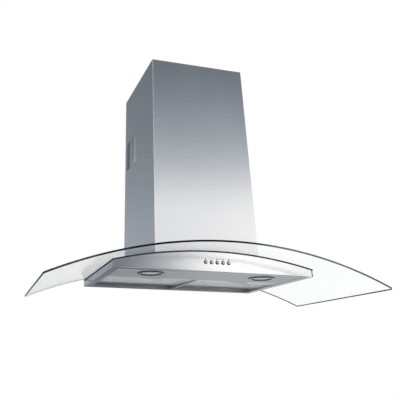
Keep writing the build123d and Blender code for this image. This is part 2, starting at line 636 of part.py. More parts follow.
def volute():
    """The air space of the scroll and its neck, as a face in Y and Z."""
    front = (FIRST_CENTRE[0] - SCROLL_START_R, FIRST_CENTRE[1])
    bottom = (LAST_CENTRE[0], FIRST_CENTRE[1] - SECOND_R)
    rear = (LAST_CENTRE[0] + SCROLL_LAST_R, LAST_CENTRE[1])
    with BuildLine() as outline:
        RadiusArc((OUTLET_FRONT_Y, TONGUE_Z), front, -SCROLL_START_R)
        RadiusArc(front, bottom, -SECOND_R)
        RadiusArc(bottom, rear, -SCROLL_LAST_R)
        Polyline(
            rear,
            (OUTLET_REAR_Y, NECK_TOP),
            (OUTLET_FRONT_Y, NECK_TOP),
            (OUTLET_FRONT_Y, TONGUE_Z),
        )
    make_face(outline.edges())


with BuildPart() as scroll_casing:
    with BuildSketch(Plane.YZ.offset(-SCROLL_HALF - SCROLL_WALL)):
        volute()
        offset(amount=SCROLL_WALL, kind=Kind.ARC)
        block(-BOX_DEPTH, 0, NECK_TOP, NECK_TOP + 2 * SCROLL_WALL, Mode.SUBTRACT)
    extrude(amount=SCROLL_WIDTH + 2 * SCROLL_WALL)
    # Flange round the neck, screwed up against the top of the box.
    with BuildSketch(Plane.XY.offset(NECK_TOP)):
        reach = SCROLL_WALL + SCROLL_FLANGE
        block(-SCROLL_HALF - reach, SCROLL_HALF + reach, OUTLET_FRONT_Y - reach, OUTLET_REAR_Y + reach)
    extrude(amount=-SCROLL_WALL)
    # Rolled lips of the two inlets.
    with BuildSketch(Plane.YZ.offset(-SCROLL_HALF - SCROLL_WALL)):
        with Locations((FAN_Y, FAN_Z)):
            Circle(SCROLL_INLET_R + SCROLL_WALL)
    extrude(amount=SCROLL_WIDTH + 2 * SCROLL_WALL)
    with BuildSketch(Plane.YZ.offset(-SCROLL_HALF)):
        volute()
    extrude(amount=SCROLL_WIDTH, mode=Mode.SUBTRACT)
    for side in (-1, 1):
        lip_plane = Plane.YZ.offset(side * SCROLL_HALF)
        with BuildSketch(lip_plane):
            with Locations((FAN_Y, FAN_Z)):
                Circle(SCROLL_INLET_R + SCROLL_WALL)
        extrude(amount=-side * (SCROLL_HALF - WHEEL_WIDTH / 2 - SCROLL_WALL))
    with BuildSketch(Plane.YZ.offset(-SCROLL_HALF - 2 * SCROLL_WALL)):
        with Locations((FAN_Y, FAN_Z)):
            Circle(SCROLL_INLET_R)
    extrude(amount=SCROLL_WIDTH + 4 * SCROLL_WALL, mode=Mode.SUBTRACT)
finish(scroll_casing.part, "scroll_casing")


def blade():
    """One forward-bent blade, its inner edge on the sketch's x axis."""
    outer_r = WHEEL_R - SHEET / 2
    inner = Vector(BLADE_INNER_R, 0)
    outer = Vector(outer_r * cos(radians(BLADE_LEAD)), outer_r * sin(radians(BLADE_LEAD)))
    across = (outer - inner).normalized().rotate(Axis.Z, 90)
    middle = (inner + outer) * 0.5 - across * BLADE_HOLLOW
    thick = across * BLADE_THICK
    with BuildLine() as outline:
        Polyline(inner, middle, outer, outer + thick, middle + thick, inner + thick, close=True)
    make_face(outline.edges())


WHEEL_HALF = WHEEL_WIDTH / 2
fan_plane = Plane(origin=(0, FAN_Y, FAN_Z), x_dir=(0, 1, 0), z_dir=(1, 0, 0))
with BuildPart() as impeller:
    with BuildSketch(mode=Mode.PRIVATE) as one_blade:
        blade()
    with BuildSketch(fan_plane.offset(-WHEEL_HALF + WHEEL_RING_T)):
        with PolarLocations(0, BLADE_COUNT):
            add(one_blade.sketch)
    extrude(amount=WHEEL_WIDTH - 2 * WHEEL_RING_T)
    disc(fan_plane.offset(-WHEEL_DISC_T / 2), WHEEL_R, WHEEL_DISC_T)
    disc(fan_plane, HUB_R, HUB_LENGTH)
    for start in (-WHEEL_HALF, WHEEL_HALF - WHEEL_RING_T):
        with BuildSketch(fan_plane.offset(start)):
            Circle(WHEEL_R)
            Circle(BLADE_INNER_R - CLEAR, mode=Mode.SUBTRACT)
        extrude(amount=WHEEL_RING_T)
    disc(fan_plane.offset(-WHEEL_DISC_T), SHAFT_R + CLEAR / 2, HUB_LENGTH + 2 * WHEEL_DISC_T, Mode.SUBTRACT)
finish(impeller.part, "impeller")

MOTOR_REAR_X = -SCROLL_HALF - SCROLL_WALL
with BuildPart() as motor_shaft:
    shaft_start = MOTOR_REAR_X - BRACKET_T
    disc(fan_plane.offset(shaft_start), SHAFT_R, HUB_LENGTH + SHAFT_PROUD - shaft_start)
finish(motor_shaft.part, "motor_shaft")

with BuildPart() as fan_motor:
    disc(fan_plane.offset(MOTOR_REAR_X), MOTOR_CAP_R, MOTOR_LENGTH)
    disc(fan_plane.offset(MOTOR_REAR_X + MOTOR_CAP_T), MOTOR_R, MOTOR_LENGTH - 2 * MOTOR_CAP_T)
    disc(fan_plane.offset(MOTOR_REAR_X), SHAFT_R + RUNNING, MOTOR_LENGTH, Mode.SUBTRACT)
finish(fan_motor.part, "fan_motor")

with BuildPart() as motor_bracket:
    with BuildSketch(fan_plane.offset(MOTOR_REAR_X)):
        Circle(BRACKET_RING_R)
        Circle(BRACKET_RING_INNER_R, mode=Mode.SUBTRACT)
        Circle(BRACKET_HUB_R)
        arm_length = (BRACKET_RING_R + BRACKET_RING_INNER_R) / 2
        with PolarLocations(arm_length / 2, BRACKET_ARMS, start_angle=90):
            Rectangle(arm_length, BRACKET_ARM_WIDTH)
        Circle(SHAFT_R + RUNNING, mode=Mode.SUBTRACT)
    extrude(amount=-BRACKET_T)
finish(motor_bracket.part, "motor_bracket")

# ================================================================== outlet
with BuildPart() as outlet_collar:
    collar_plane = Plane(origin=(0, COLLAR_Y, BOX_TOP))
    disc(collar_plane, COLLAR_FLANGE_R, COLLAR_FLANGE_T)
    disc(collar_plane, COLLAR_R, COLLAR_FLANGE_T + COLLAR_LENGTH)
    disc(collar_plane, COLLAR_BORE_R, COLLAR_FLANGE_T + COLLAR_LENGTH, Mode.SUBTRACT)
    ledge_top = FLAP_HEIGHT - FLAP_THICK / 2 - SEAT
    with BuildSketch(collar_plane.offset(ledge_top)):
        Circle(COLLAR_BORE_R + COLLAR_WALL / 2)
        Circle(COLLAR_BORE_R - FLAP_LEDGE, mode=Mode.SUBTRACT)
    extrude(amount=-FLAP_LEDGE_T)
    # Bosses for the hinge pin.
    with BuildSketch(Plane.YZ.offset(-COLLAR_BORE_R - COLLAR_WALL / 2)):
        with Locations((COLLAR_Y, FLAP_Z)):
            Circle(FLAP_BARREL_R)
    extrude(amount=2 * COLLAR_BORE_R + COLLAR_WALL)
    throat_r = COLLAR_BORE_R - FLAP_LEDGE - FLAP_EDGE_GAP
    disc(collar_plane, throat_r, FLAP_HEIGHT + COLLAR_LENGTH, Mode.SUBTRACT)
    with BuildSketch(Plane.YZ.offset(-COLLAR_BORE_R)):
        with Locations((COLLAR_Y, FLAP_Z)):
            Circle(FLAP_PIN_R + CLEAR / 2)
    extrude(amount=2 * COLLAR_BORE_R, mode=Mode.SUBTRACT)
    with BuildSketch(collar_plane):
        with PolarLocations((COLLAR_R + COLLAR_FLANGE_R) / 2, COLLAR_SCREWS, start_angle=45):
            Circle(COLLAR_SCREW_R + CLEAR)
    extrude(amount=COLLAR_FLANGE_T, mode=Mode.SUBTRACT)
finish(outlet_collar.part, "outlet_collar")

with BuildPart() as collar_screws:
    with BuildSketch(collar_plane.offset(COLLAR_FLANGE_T)):
        with PolarLocations((COLLAR_R + COLLAR_FLANGE_R) / 2, COLLAR_SCREWS, start_angle=45):
            RegularPolygon(COLLAR_SCREW_HEAD_R, 6)
    extrude(amount=COLLAR_SCREW_HEAD_T)
    with BuildSketch(collar_plane.offset(COLLAR_FLANGE_T)):
        with PolarLocations((COLLAR_R + COLLAR_FLANGE_R) / 2, COLLAR_SCREWS, start_angle=45):
            Circle(COLLAR_SCREW_R)
    extrude(amount=-COLLAR_FLANGE_T - BOX_SHEET)
finish(collar_screws.part, "collar_screws")

with BuildPart() as flap_pin:
    with BuildSketch(Plane.YZ.offset(-COLLAR_BORE_R + CLEAR)):
        with Locations((COLLAR_Y, FLAP_Z)):
            Circle(FLAP_PIN_R)
    extrude(amount=2 * (COLLAR_BORE_R - CLEAR))
finish(flap_pin.part, "flap_pin")


def flap(front, barrels):
    """A half-round flap lying shut: front is -1 or 1, barrels are (centre x, length)."""
    with BuildPart() as piece:
        with BuildSketch(collar_plane.offset(FLAP_HEIGHT - FLAP_THICK / 2)):
            Circle(FLAP_R)
            near, far = sorted((front * FLAP_ROOT, -front * 2 * FLAP_R))
            block(-FLAP_R, FLAP_R, near, far, Mode.SUBTRACT)
            for x, length in barrels:
                low, high = sorted((0, front * 2 * FLAP_ROOT))
                block(x - length / 2, x + length / 2, low, high)
        extrude(amount=FLAP_THICK)
        for x, length in barrels:
            with BuildSketch(Plane.YZ.offset(x - length / 2)):
                with Locations((COLLAR_Y, FLAP_Z)):
                    Circle(FLAP_BARREL_R)
            extrude(amount=length)
            with BuildSketch(Plane.YZ.offset(x - length / 2)):
                with Locations((COLLAR_Y, FLAP_Z)):
                    Circle(FLAP_PIN_R + RUNNING)
            extrude(amount=length, mode=Mode.SUBTRACT)
    return piece.part


outer_barrels = [(side * FLAP_BARREL_X, FLAP_BARREL_LENGTH) for side in (-1, 1)]
finish(flap(-1, outer_barrels), "flap_front")
finish(flap(1, [(0, FLAP_MID_BARREL_LENGTH)]), "flap_rear")

# ================================================================== electrics
with BuildPart() as control_box:
    with BuildSketch(Plane.XY.offset(BOX_TOP)):
        with Locations((CONTROL_X, ELECTRICS_Y)):
            RectangleRounded(CONTROL_WIDTH, CONTROL_DEPTH, CONTROL_CORNER_R)
    extrude(amount=CONTROL_TALL)
    with BuildSketch(Plane.XY.offset(BOX_TOP + CONTROL_TALL)):
        with Locations((CONTROL_X, ELECTRICS_Y)):
            RectangleRounded(
                CONTROL_WIDTH - 2 * CONTROL_LID_LAP, CONTROL_DEPTH - 2 * CONTROL_LID_LAP, CONTROL_WALL
            )
    extrude(amount=CONTROL_LID_T)
    with BuildSketch(Plane.XY.offset(BOX_TOP + CONTROL_WALL)):
        with Locations((CONTROL_X, ELECTRICS_Y)):
            Rectangle(CONTROL_WIDTH - 4 * CONTROL_WALL, CONTROL_DEPTH - 4 * CONTROL_WALL)
    extrude(amount=CONTROL_TALL - CONTROL_WALL, mode=Mode.SUBTRACT)
    with BuildSketch(Plane.XY.offset(BOX_TOP + CONTROL_TALL)):
        with Locations((GLAND_X, ELECTRICS_Y)):
            Circle(GLAND_R + CLEAR)
    extrude(amount=CONTROL_LID_T, mode=Mode.SUBTRACT)
finish(control_box.part, "control_box")

GLAND_SEAT = BOX_TOP + CONTROL_TALL + CONTROL_LID_T
with BuildPart() as cable_gland:
    gland_plane = Plane(origin=(GLAND_X, ELECTRICS_Y, GLAND_SEAT))
    disc(gland_plane.offset(-CONTROL_LID_T), GLAND_R, GLAND_LENGTH)
    with BuildSketch(gland_plane):
        RegularPolygon(GLAND_NUT_R, 6)
    extrude(amount=GLAND_NUT_T)
    disc(gland_plane.offset(-CONTROL_LID_T), GLAND_BORE_R, GLAND_LENGTH, Mode.SUBTRACT)
finish(cable_gland.part, "cable_gland")

with BuildPart() as capacitor:
    capacitor_plane = Plane(origin=(CAPACITOR_X, ELECTRICS_Y, BOX_TOP))
    disc(capacitor_plane, CAPACITOR_R, CAPACITOR_TALL)
    chamfer(capacitor.edges().group_by(Axis.Z)[-1], length=CAPACITOR_EDGE)
finish(capacitor.part, "capacitor")

# ================================================================== chimney


def vents():
    """Slots in both sides of a cover, cut right across the hood."""
    centre_y = -(VENT_REAR + VENT_LENGTH + VENT_COLUMN_GAP / 2)
    centre_z = BASE + VENT_TOP_HEIGHT - VENT_PITCH * (VENT_ROWS - 1) / 2
    with BuildSketch(Plane.YZ.offset(-COVER_HALF)) as slots:
        with Locations((centre_y, centre_z)):
            with GridLocations(VENT_LENGTH + VENT_COLUMN_GAP, VENT_PITCH, VENT_COLUMNS, VENT_ROWS):
                Rectangle(VENT_LENGTH, VENT_TALL)
    extrude(slots.sketch, amount=COVER_WIDTH, mode=Mode.SUBTRACT)


def cover_profile(half, front, rear):
    """Plan of a cover: front, two sides, and a flange turned in along each rear edge."""
    block(-half, half, -front, -rear)
    block(-half + SHEET, half - SHEET, -front + SHEET, -rear - SHEET, Mode.SUBTRACT)
    block(-half + COVER_FLANGE, half - COVER_FLANGE, -rear - SHEET, -rear, Mode.SUBTRACT)


def bend_corners(cover):
    """Rounds the two folded front corners of the cover being built, outside and inside."""
    upright = cover.edges().filter_by(Axis.Z).group_by(Axis.Y)
    fillet(upright[0], radius=COVER_BEND_R)
    fillet(cover.edges().filter_by(Axis.Z).filter_by(
        lambda edge: abs(edge.center().Y - upright[1][0].center().Y) < CLEAR
    ), radius=COVER_BEND_R - SHEET)


with BuildPart() as chimney_cover:
    with BuildSketch(Plane.XY.offset(BASE)):
        cover_profile(COVER_HALF, COVER_DEPTH, 0)
    extrude(amount=COVER_TOP_HEIGHT)
    bend_corners(chimney_cover)
    # The lower edge follows the glass.
    with BuildSketch(Plane.XZ):
        arch_face(COVER_WIDTH, BASE, GLASS_RADIUS + SEAT)
    extrude(amount=COVER_DEPTH, mode=Mode.SUBTRACT)
    vents()
finish(chimney_cover.part, "chimney_cover")

with BuildPart() as inner_cover:
    with BuildSketch(Plane.XY.offset(INNER_BOTTOM)):
        cover_profile(INNER_HALF, INNER_FRONT, INNER_REAR)
    extrude(amount=INNER_TOP - INNER_BOTTOM)
    bend_corners(inner_cover)
    vents()
    rivet_y = -WALL_BRACKET_REACH + WALL_BRACKET_STEP
    rivet_z = INNER_TOP - WALL_BRACKET_DROP - WALL_BRACKET_TALL / 2
    with BuildSketch(Plane.YZ.offset(-COVER_HALF)):
        with Locations((rivet_y, rivet_z)):
            Circle(RIVET_R + CLEAR / 2)
    extrude(amount=COVER_WIDTH, mode=Mode.SUBTRACT)
finish(inner_cover.part, "inner_cover")

# Supports: an angle on each side of the motor box carries the inner cover and steadies the outer.
with BuildPart() as cover_supports:
    support_rear = (BOX_DEPTH - SUPPORT_LENGTH) / 2
    outer_face = COVER_HALF - SHEET - 2 * CLEAR
    with BuildSketch(Plane.XZ.offset(support_rear)):
        for side in (-1, 1):
            near, far = sorted((side * BOX_HALF, side * outer_face))
            block(near, far, BASE + SUPPORT_HEIGHT - SUPPORT_DEPTH, BASE + SUPPORT_HEIGHT)
            block(
                near + SUPPORT_SHEET,
                far - SUPPORT_SHEET,
                BASE + SUPPORT_HEIGHT - SUPPORT_DEPTH,
                BASE + SUPPORT_HEIGHT - SUPPORT_SHEET,
                Mode.SUBTRACT,
            )
    extrude(amount=SUPPORT_LENGTH)
finish(cover_supports.part, "cover_supports")

# Bracket that fixes the top of the inner cover to the wall.
BRACKET_SIDE = INNER_HALF - SHEET - CLEAR
with BuildPart() as wall_bracket:
    with BuildSketch(Plane.XY.offset(INNER_TOP - WALL_BRACKET_DROP)):
        block(-WALL_BRACKET_HALF, WALL_BRACKET_HALF, -WALL_BRACKET_T, 0)
        step = WALL_BRACKET_STEP
        for side in (-1, 1):
            near, far = sorted((side * WALL_BRACKET_HALF, side * (WALL_BRACKET_HALF - WALL_BRACKET_T)))
            block(near, far, -step - WALL_BRACKET_T, 0)
            near, far = sorted((side * (WALL_BRACKET_HALF - WALL_BRACKET_T), side * BRACKET_SIDE))
            block(near, far, -step - WALL_BRACKET_T, -step)
            near, far = sorted((side * (BRACKET_SIDE - WALL_BRACKET_T), side * BRACKET_SIDE))
            block(near, far, -WALL_BRACKET_REACH, -step)
    extrude(amount=-WALL_BRACKET_TALL)
    with BuildSketch(Plane.XZ):
        with Locations((0, rivet_z)):
            with GridLocations(WALL_BRACKET_HOLE_SPACING, 1, 2, 1):
                Circle(WALL_BRACKET_HOLE_R)
    extrude(amount=WALL_BRACKET_T, mode=Mode.SUBTRACT)
    with BuildSketch(Plane.YZ.offset(-COVER_HALF)):
        with Locations((rivet_y, rivet_z)):
            Circle(RIVET_R + CLEAR / 2)
    extrude(amount=COVER_WIDTH, mode=Mode.SUBTRACT)
finish(wall_bracket.part, "wall_bracket")

with BuildPart() as bracket_rivets:
    for side in (-1, 1):
        rivet_plane = Plane(
            origin=(side * (BRACKET_SIDE - WALL_BRACKET_T), rivet_y, rivet_z), z_dir=(side, 0, 0)
        )
        disc(rivet_plane, RIVET_R, WALL_BRACKET_T + CLEAR + SHEET)
        disc(rivet_plane, RIVET_HEAD_R, -RIVET_HEAD_T)
finish(bracket_rivets.part, "bracket_rivets")

# ================================================================== controls
with BuildPart() as button_guide:
    with BuildSketch(Plane.XZ.offset(PANEL_BACK - GUIDE_T)):
        block(-GUIDE_HALF, GUIDE_HALF, BUTTON_Z - GUIDE_HALF_TALL, BUTTON_Z + GUIDE_HALF_TALL)
    extrude(amount=GUIDE_T)
    for x in BUTTON_X:
        sleeve_plane = Plane(
            origin=(x, -BODY_DEPTH - SLEEVE_PROUD, BUTTON_Z), x_dir=(1, 0, 0), z_dir=(0, 1, 0)
        )
        disc(sleeve_plane, SLEEVE_R, SLEEVE_LENGTH)
        disc(sleeve_plane, SLEEVE_BORE_R, SLEEVE_LENGTH, Mode.SUBTRACT)
    with BuildSketch(Plane.XZ.offset(SWITCH_FRONT_Y)):
        for side in (-1, 1):
            near, far = sorted((side * GUIDE_HALF, side * (GUIDE_HALF - GUIDE_POST_WIDTH)))
            block(near, far, BUTTON_Z - GUIDE_HALF_TALL, BUTTON_Z + GUIDE_HALF_TALL)
    extrude(amount=PANEL_BACK - SWITCH_FRONT_Y)
finish(button_guide.part, "button_guide")

with BuildPart() as switch_block:
    with BuildSketch(Plane.XZ.offset(SWITCH_FRONT_Y)):
        block(-GUIDE_HALF, GUIDE_HALF, BUTTON_Z - GUIDE_HALF_TALL, BUTTON_Z + GUIDE_HALF_TALL)
    extrude(amount=-SWITCH_LENGTH)
    with BuildSketch(Plane.XZ.offset(SWITCH_FRONT_Y)):
        for x in BUTTON_X:
            with Locations((x, BUTTON_Z)):
                Circle(STEM_R + RUNNING)
    extrude(amount=-SOCKET_DEPTH, mode=Mode.SUBTRACT)
finish(switch_block.part, "switch_block")

for name, x in zip(BUTTONS, BUTTON_X):
    with BuildPart() as button:
        cap_plane = Plane(
            origin=(x, -BODY_DEPTH - BUTTON_PROUD, BUTTON_Z), x_dir=(1, 0, 0), z_dir=(0, 1, 0)
        )
        disc(cap_plane, BUTTON_R, BUTTON_CAP_LENGTH)
        disc(cap_plane, STEM_R, BUTTON_CAP_LENGTH + STEM_LENGTH)
        chamfer(button.edges().group_by(Axis.Y)[0], length=BUTTON_EDGE)
    finish(button.part, name)

# ================================================================== lamps
for name, side in (("left", -1), ("right", 1)):
    lamp_x = side * LAMP_X
    lamp_plane = Plane(origin=(lamp_x, LAMP_Y, LAMP_BASE))
    section = Plane(origin=(lamp_x, LAMP_Y, 0), x_dir=(1, 0, 0), z_dir=(0, -1, 0))
    neck_bore_r = LAMP_NECK_R - LAMP_NECK_WALL
    with BuildPart() as lamp_ring:
        with BuildSketch(section):
            block(neck_bore_r - LAMP_LIP, LAMP_RING_R, LAMP_BASE - LAMP_RING_T, LAMP_BASE)
            block(neck_bore_r, LAMP_NECK_R, LAMP_BASE, LAMP_NECK_TOP)
        revolve(axis=Axis((lamp_x, LAMP_Y, 0), (0, 0, 1)))
        chamfer(lamp_ring.edges().group_by(Axis.Z)[0], length=LAMP_RING_EDGE)
    finish(lamp_ring.part, f"lamp_ring_{name}")

    with BuildPart() as lamp_lens:
        disc(lamp_plane, neck_bore_r - CLEAR, LAMP_LENS_T)
    finish(lamp_lens.part, f"lamp_lens_{name}")

    with BuildPart() as lamp_can:
        can_plane = Plane(origin=(lamp_x, LAMP_Y, LAMP_NECK_TOP))
        cup_tall = LAMP_CAN_TALL - LAMP_FIN_TALL
        disc(can_plane, LAMP_NECK_R, cup_tall)
        disc(can_plane, LAMP_NECK_R - LAMP_CAN_WALL, cup_tall - LAMP_CAN_WALL, Mode.SUBTRACT)
        with BuildSketch(can_plane.offset(cup_tall)):
            with GridLocations(LAMP_FIN_PITCH, 1, LAMP_FIN_COUNT, 1):
                Rectangle(LAMP_FIN_T, 1.2 * LAMP_NECK_R)
        extrude(amount=LAMP_FIN_TALL)
    finish(lamp_can.part, f"lamp_can_{name}")

    with BuildPart() as lamp_board:
        board_plane = can_plane.offset(LAMP_BOARD_LIFT)
        disc(board_plane, LAMP_NECK_R - LAMP_CAN_WALL - CLEAR, LAMP_BOARD_T)
        disc(board_plane, LAMP_CHIP_R, -LAMP_CHIP_T)
    finish(lamp_board.part, f"lamp_board_{name}")

# ================================================================== filters
mesh_pitch_x = WINDOW_WIDTH / MESH_COLUMNS
mesh_pitch_y = WINDOW_LENGTH / MESH_ROWS
with BuildSketch() as diamond:
    half_x = (mesh_pitch_x - MESH_STRAND) / 2
    half_y = (mesh_pitch_y - MESH_STRAND) / 2
    with BuildLine():
        Polyline((half_x, 0), (0, half_y), (-half_x, 0), (0, -half_y), close=True)
    make_face()
for name, centre_x in FILTER_CENTRES.items():
    # Local plane of a filter: its rear lower edge, with +y up the slope towards the wall.
    filter_plane = Plane(
        origin=(centre_x, -RIM - FILTER_REAR_GAP, BASE + FILTER_REAR_RECESS),
        x_dir=(1, 0, 0),
        z_dir=(0, -sin(FILTER_TILT), cos(FILTER_TILT)),
    )
    with BuildPart() as filter_frame:
        with BuildSketch(filter_plane):
            with Locations((0, -FILTER_LENGTH / 2)):
                RectangleRounded(FILTER_WIDTH, FILTER_LENGTH, FILTER_CORNER_R)
            with Locations((0, WINDOW_Y)):
                RectangleRounded(WINDOW_WIDTH, WINDOW_LENGTH, FILTER_CORNER_R / 2, mode=Mode.SUBTRACT)
        extrude(amount=FILTER_THICK)
        # Groove that holds the edge of the mesh.
        with BuildSketch(filter_plane.offset(FILTER_SKIN)):
            with Locations((0, WINDOW_Y)):
                Rectangle(WINDOW_WIDTH + 2 * FILTER_GROOVE, WINDOW_LENGTH + 2 * FILTER_GROOVE)
        extrude(amount=FILTER_THICK - 2 * FILTER_SKIN, mode=Mode.SUBTRACT)
        with BuildSketch(filter_plane.offset(TAB_LIFT)):
            tab_end = FILTER_REAR_GAP + SHEET + TAB_REACH
            for side in (-1, 1):
                tab_x = side * TAB_SPACING / 2
                block(tab_x - TAB_WIDTH / 2, tab_x + TAB_WIDTH / 2, -SHEET, tab_end)
        extrude(amount=TAB_THICK)
        with BuildSketch(filter_plane):
            with Locations((0, LATCH_POCKET_Y)):
                Rectangle(LATCH_POCKET_WIDTH, LATCH_POCKET_LENGTH)
        extrude(amount=FILTER_THICK - FILTER_SKIN, mode=Mode.SUBTRACT)
        # Slot for the latch's tongue.
        tongue_lift = (LATCH_THICK - LATCH_TONGUE_T) / 2 + FILTER_SKIN
        with BuildSketch(filter_plane.offset(tongue_lift - SEAT)):
            reach = LATCH_TONGUE_WIDTH / 2 + SEAT
            block(-reach, reach, -FILTER_LENGTH, -FILTER_LENGTH + LATCH_BAR)
        extrude(amount=LATCH_TONGUE_T + 2 * SEAT, mode=Mode.SUBTRACT)
    finish(filter_frame.part, f"filter_frame_{name}")

    with BuildPart() as filter_mesh:
        mesh_gap = FILTER_GROOVE - 2 * SHEET
        with BuildSketch(filter_plane.offset(FILTER_SKIN + CLEAR)):
            with Locations((0, WINDOW_Y)):
                Rectangle(WINDOW_WIDTH + 2 * mesh_gap, WINDOW_LENGTH + 2 * mesh_gap)
                with GridLocations(mesh_pitch_x, mesh_pitch_y, MESH_COLUMNS, MESH_ROWS):
                    add(diamond.sketch, mode=Mode.SUBTRACT)
        extrude(amount=MESH_THICK)
    finish(filter_mesh.part, f"filter_mesh_{name}")

    with BuildPart() as filter_latch:
        plate_length = LATCH_POCKET_LENGTH - LATCH_TRAVEL - 2 * SEAT
        plate_front = -FILTER_LENGTH + LATCH_BAR + SEAT
        plate_half = LATCH_POCKET_WIDTH / 2 - SEAT
        with BuildSketch(filter_plane.offset(FILTER_SKIN)):
            block(-plate_half, plate_half, plate_front, plate_front + plate_length)
        extrude(amount=LATCH_THICK)
        with BuildSketch(filter_plane.offset(tongue_lift)):
            tongue_half = LATCH_TONGUE_WIDTH / 2
            block(-tongue_half, tongue_half, -FILTER_LENGTH - LATCH_TONGUE_PROUD, plate_front + SHEET)
        extrude(amount=LATCH_TONGUE_T)
        with BuildSketch(filter_plane.offset(FILTER_SKIN)):
            with Locations((0, plate_front + plate_length / 2)):
                RectangleRounded(LATCH_GRIP_WIDTH, LATCH_GRIP_LENGTH, LATCH_GRIP_LENGTH / 3)
        extrude(amount=LATCH_GRIP_DEEP, mode=Mode.SUBTRACT)
    finish(filter_latch.part, f"filter_latch_{name}")
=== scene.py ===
"""Looks of the wall hood with an arched glass canopy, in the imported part's own frame.

The room, the viewpoint, the finishes and the pieces that dress the part are built here. Every
length in a dataclass is in metres, x to the right, y into the wall and z up, with the origin on
the wall at the middle of the four wall-fixing holes.
"""

import logging
from dataclasses import dataclass
from enum import Enum
from math import asin, cos, pi, radians, sin, sqrt
from typing import Any, ClassVar, Sequence

import bmesh
import bpy
from mathutils import Matrix, Vector


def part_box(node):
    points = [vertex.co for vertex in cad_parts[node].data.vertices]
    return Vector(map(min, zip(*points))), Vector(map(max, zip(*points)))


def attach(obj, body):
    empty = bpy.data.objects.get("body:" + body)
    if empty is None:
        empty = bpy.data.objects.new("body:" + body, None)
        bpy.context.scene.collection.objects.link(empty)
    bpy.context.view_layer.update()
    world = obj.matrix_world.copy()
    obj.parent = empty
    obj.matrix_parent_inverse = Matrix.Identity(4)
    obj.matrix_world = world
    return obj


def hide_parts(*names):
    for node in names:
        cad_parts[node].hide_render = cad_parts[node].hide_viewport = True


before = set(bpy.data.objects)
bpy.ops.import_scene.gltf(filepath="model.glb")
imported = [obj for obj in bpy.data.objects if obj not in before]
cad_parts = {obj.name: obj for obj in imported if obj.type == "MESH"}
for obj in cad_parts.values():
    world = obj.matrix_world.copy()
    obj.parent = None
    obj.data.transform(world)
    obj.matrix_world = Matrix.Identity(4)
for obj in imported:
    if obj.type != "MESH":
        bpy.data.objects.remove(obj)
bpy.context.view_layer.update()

Colour = tuple[float, float, float]
Point = tuple[float, float, float]
Span = tuple[float, float]
Stops = Sequence[Span]
LOG = logging.getLogger("hood")

# The whole span of a mask, and the spans that noises are read over to turn into one.
FULL: Span = (0.0, 1.0)
MIDDLE: Span = (0.3, 0.7)
PATCHES: Span = (0.35, 0.7)


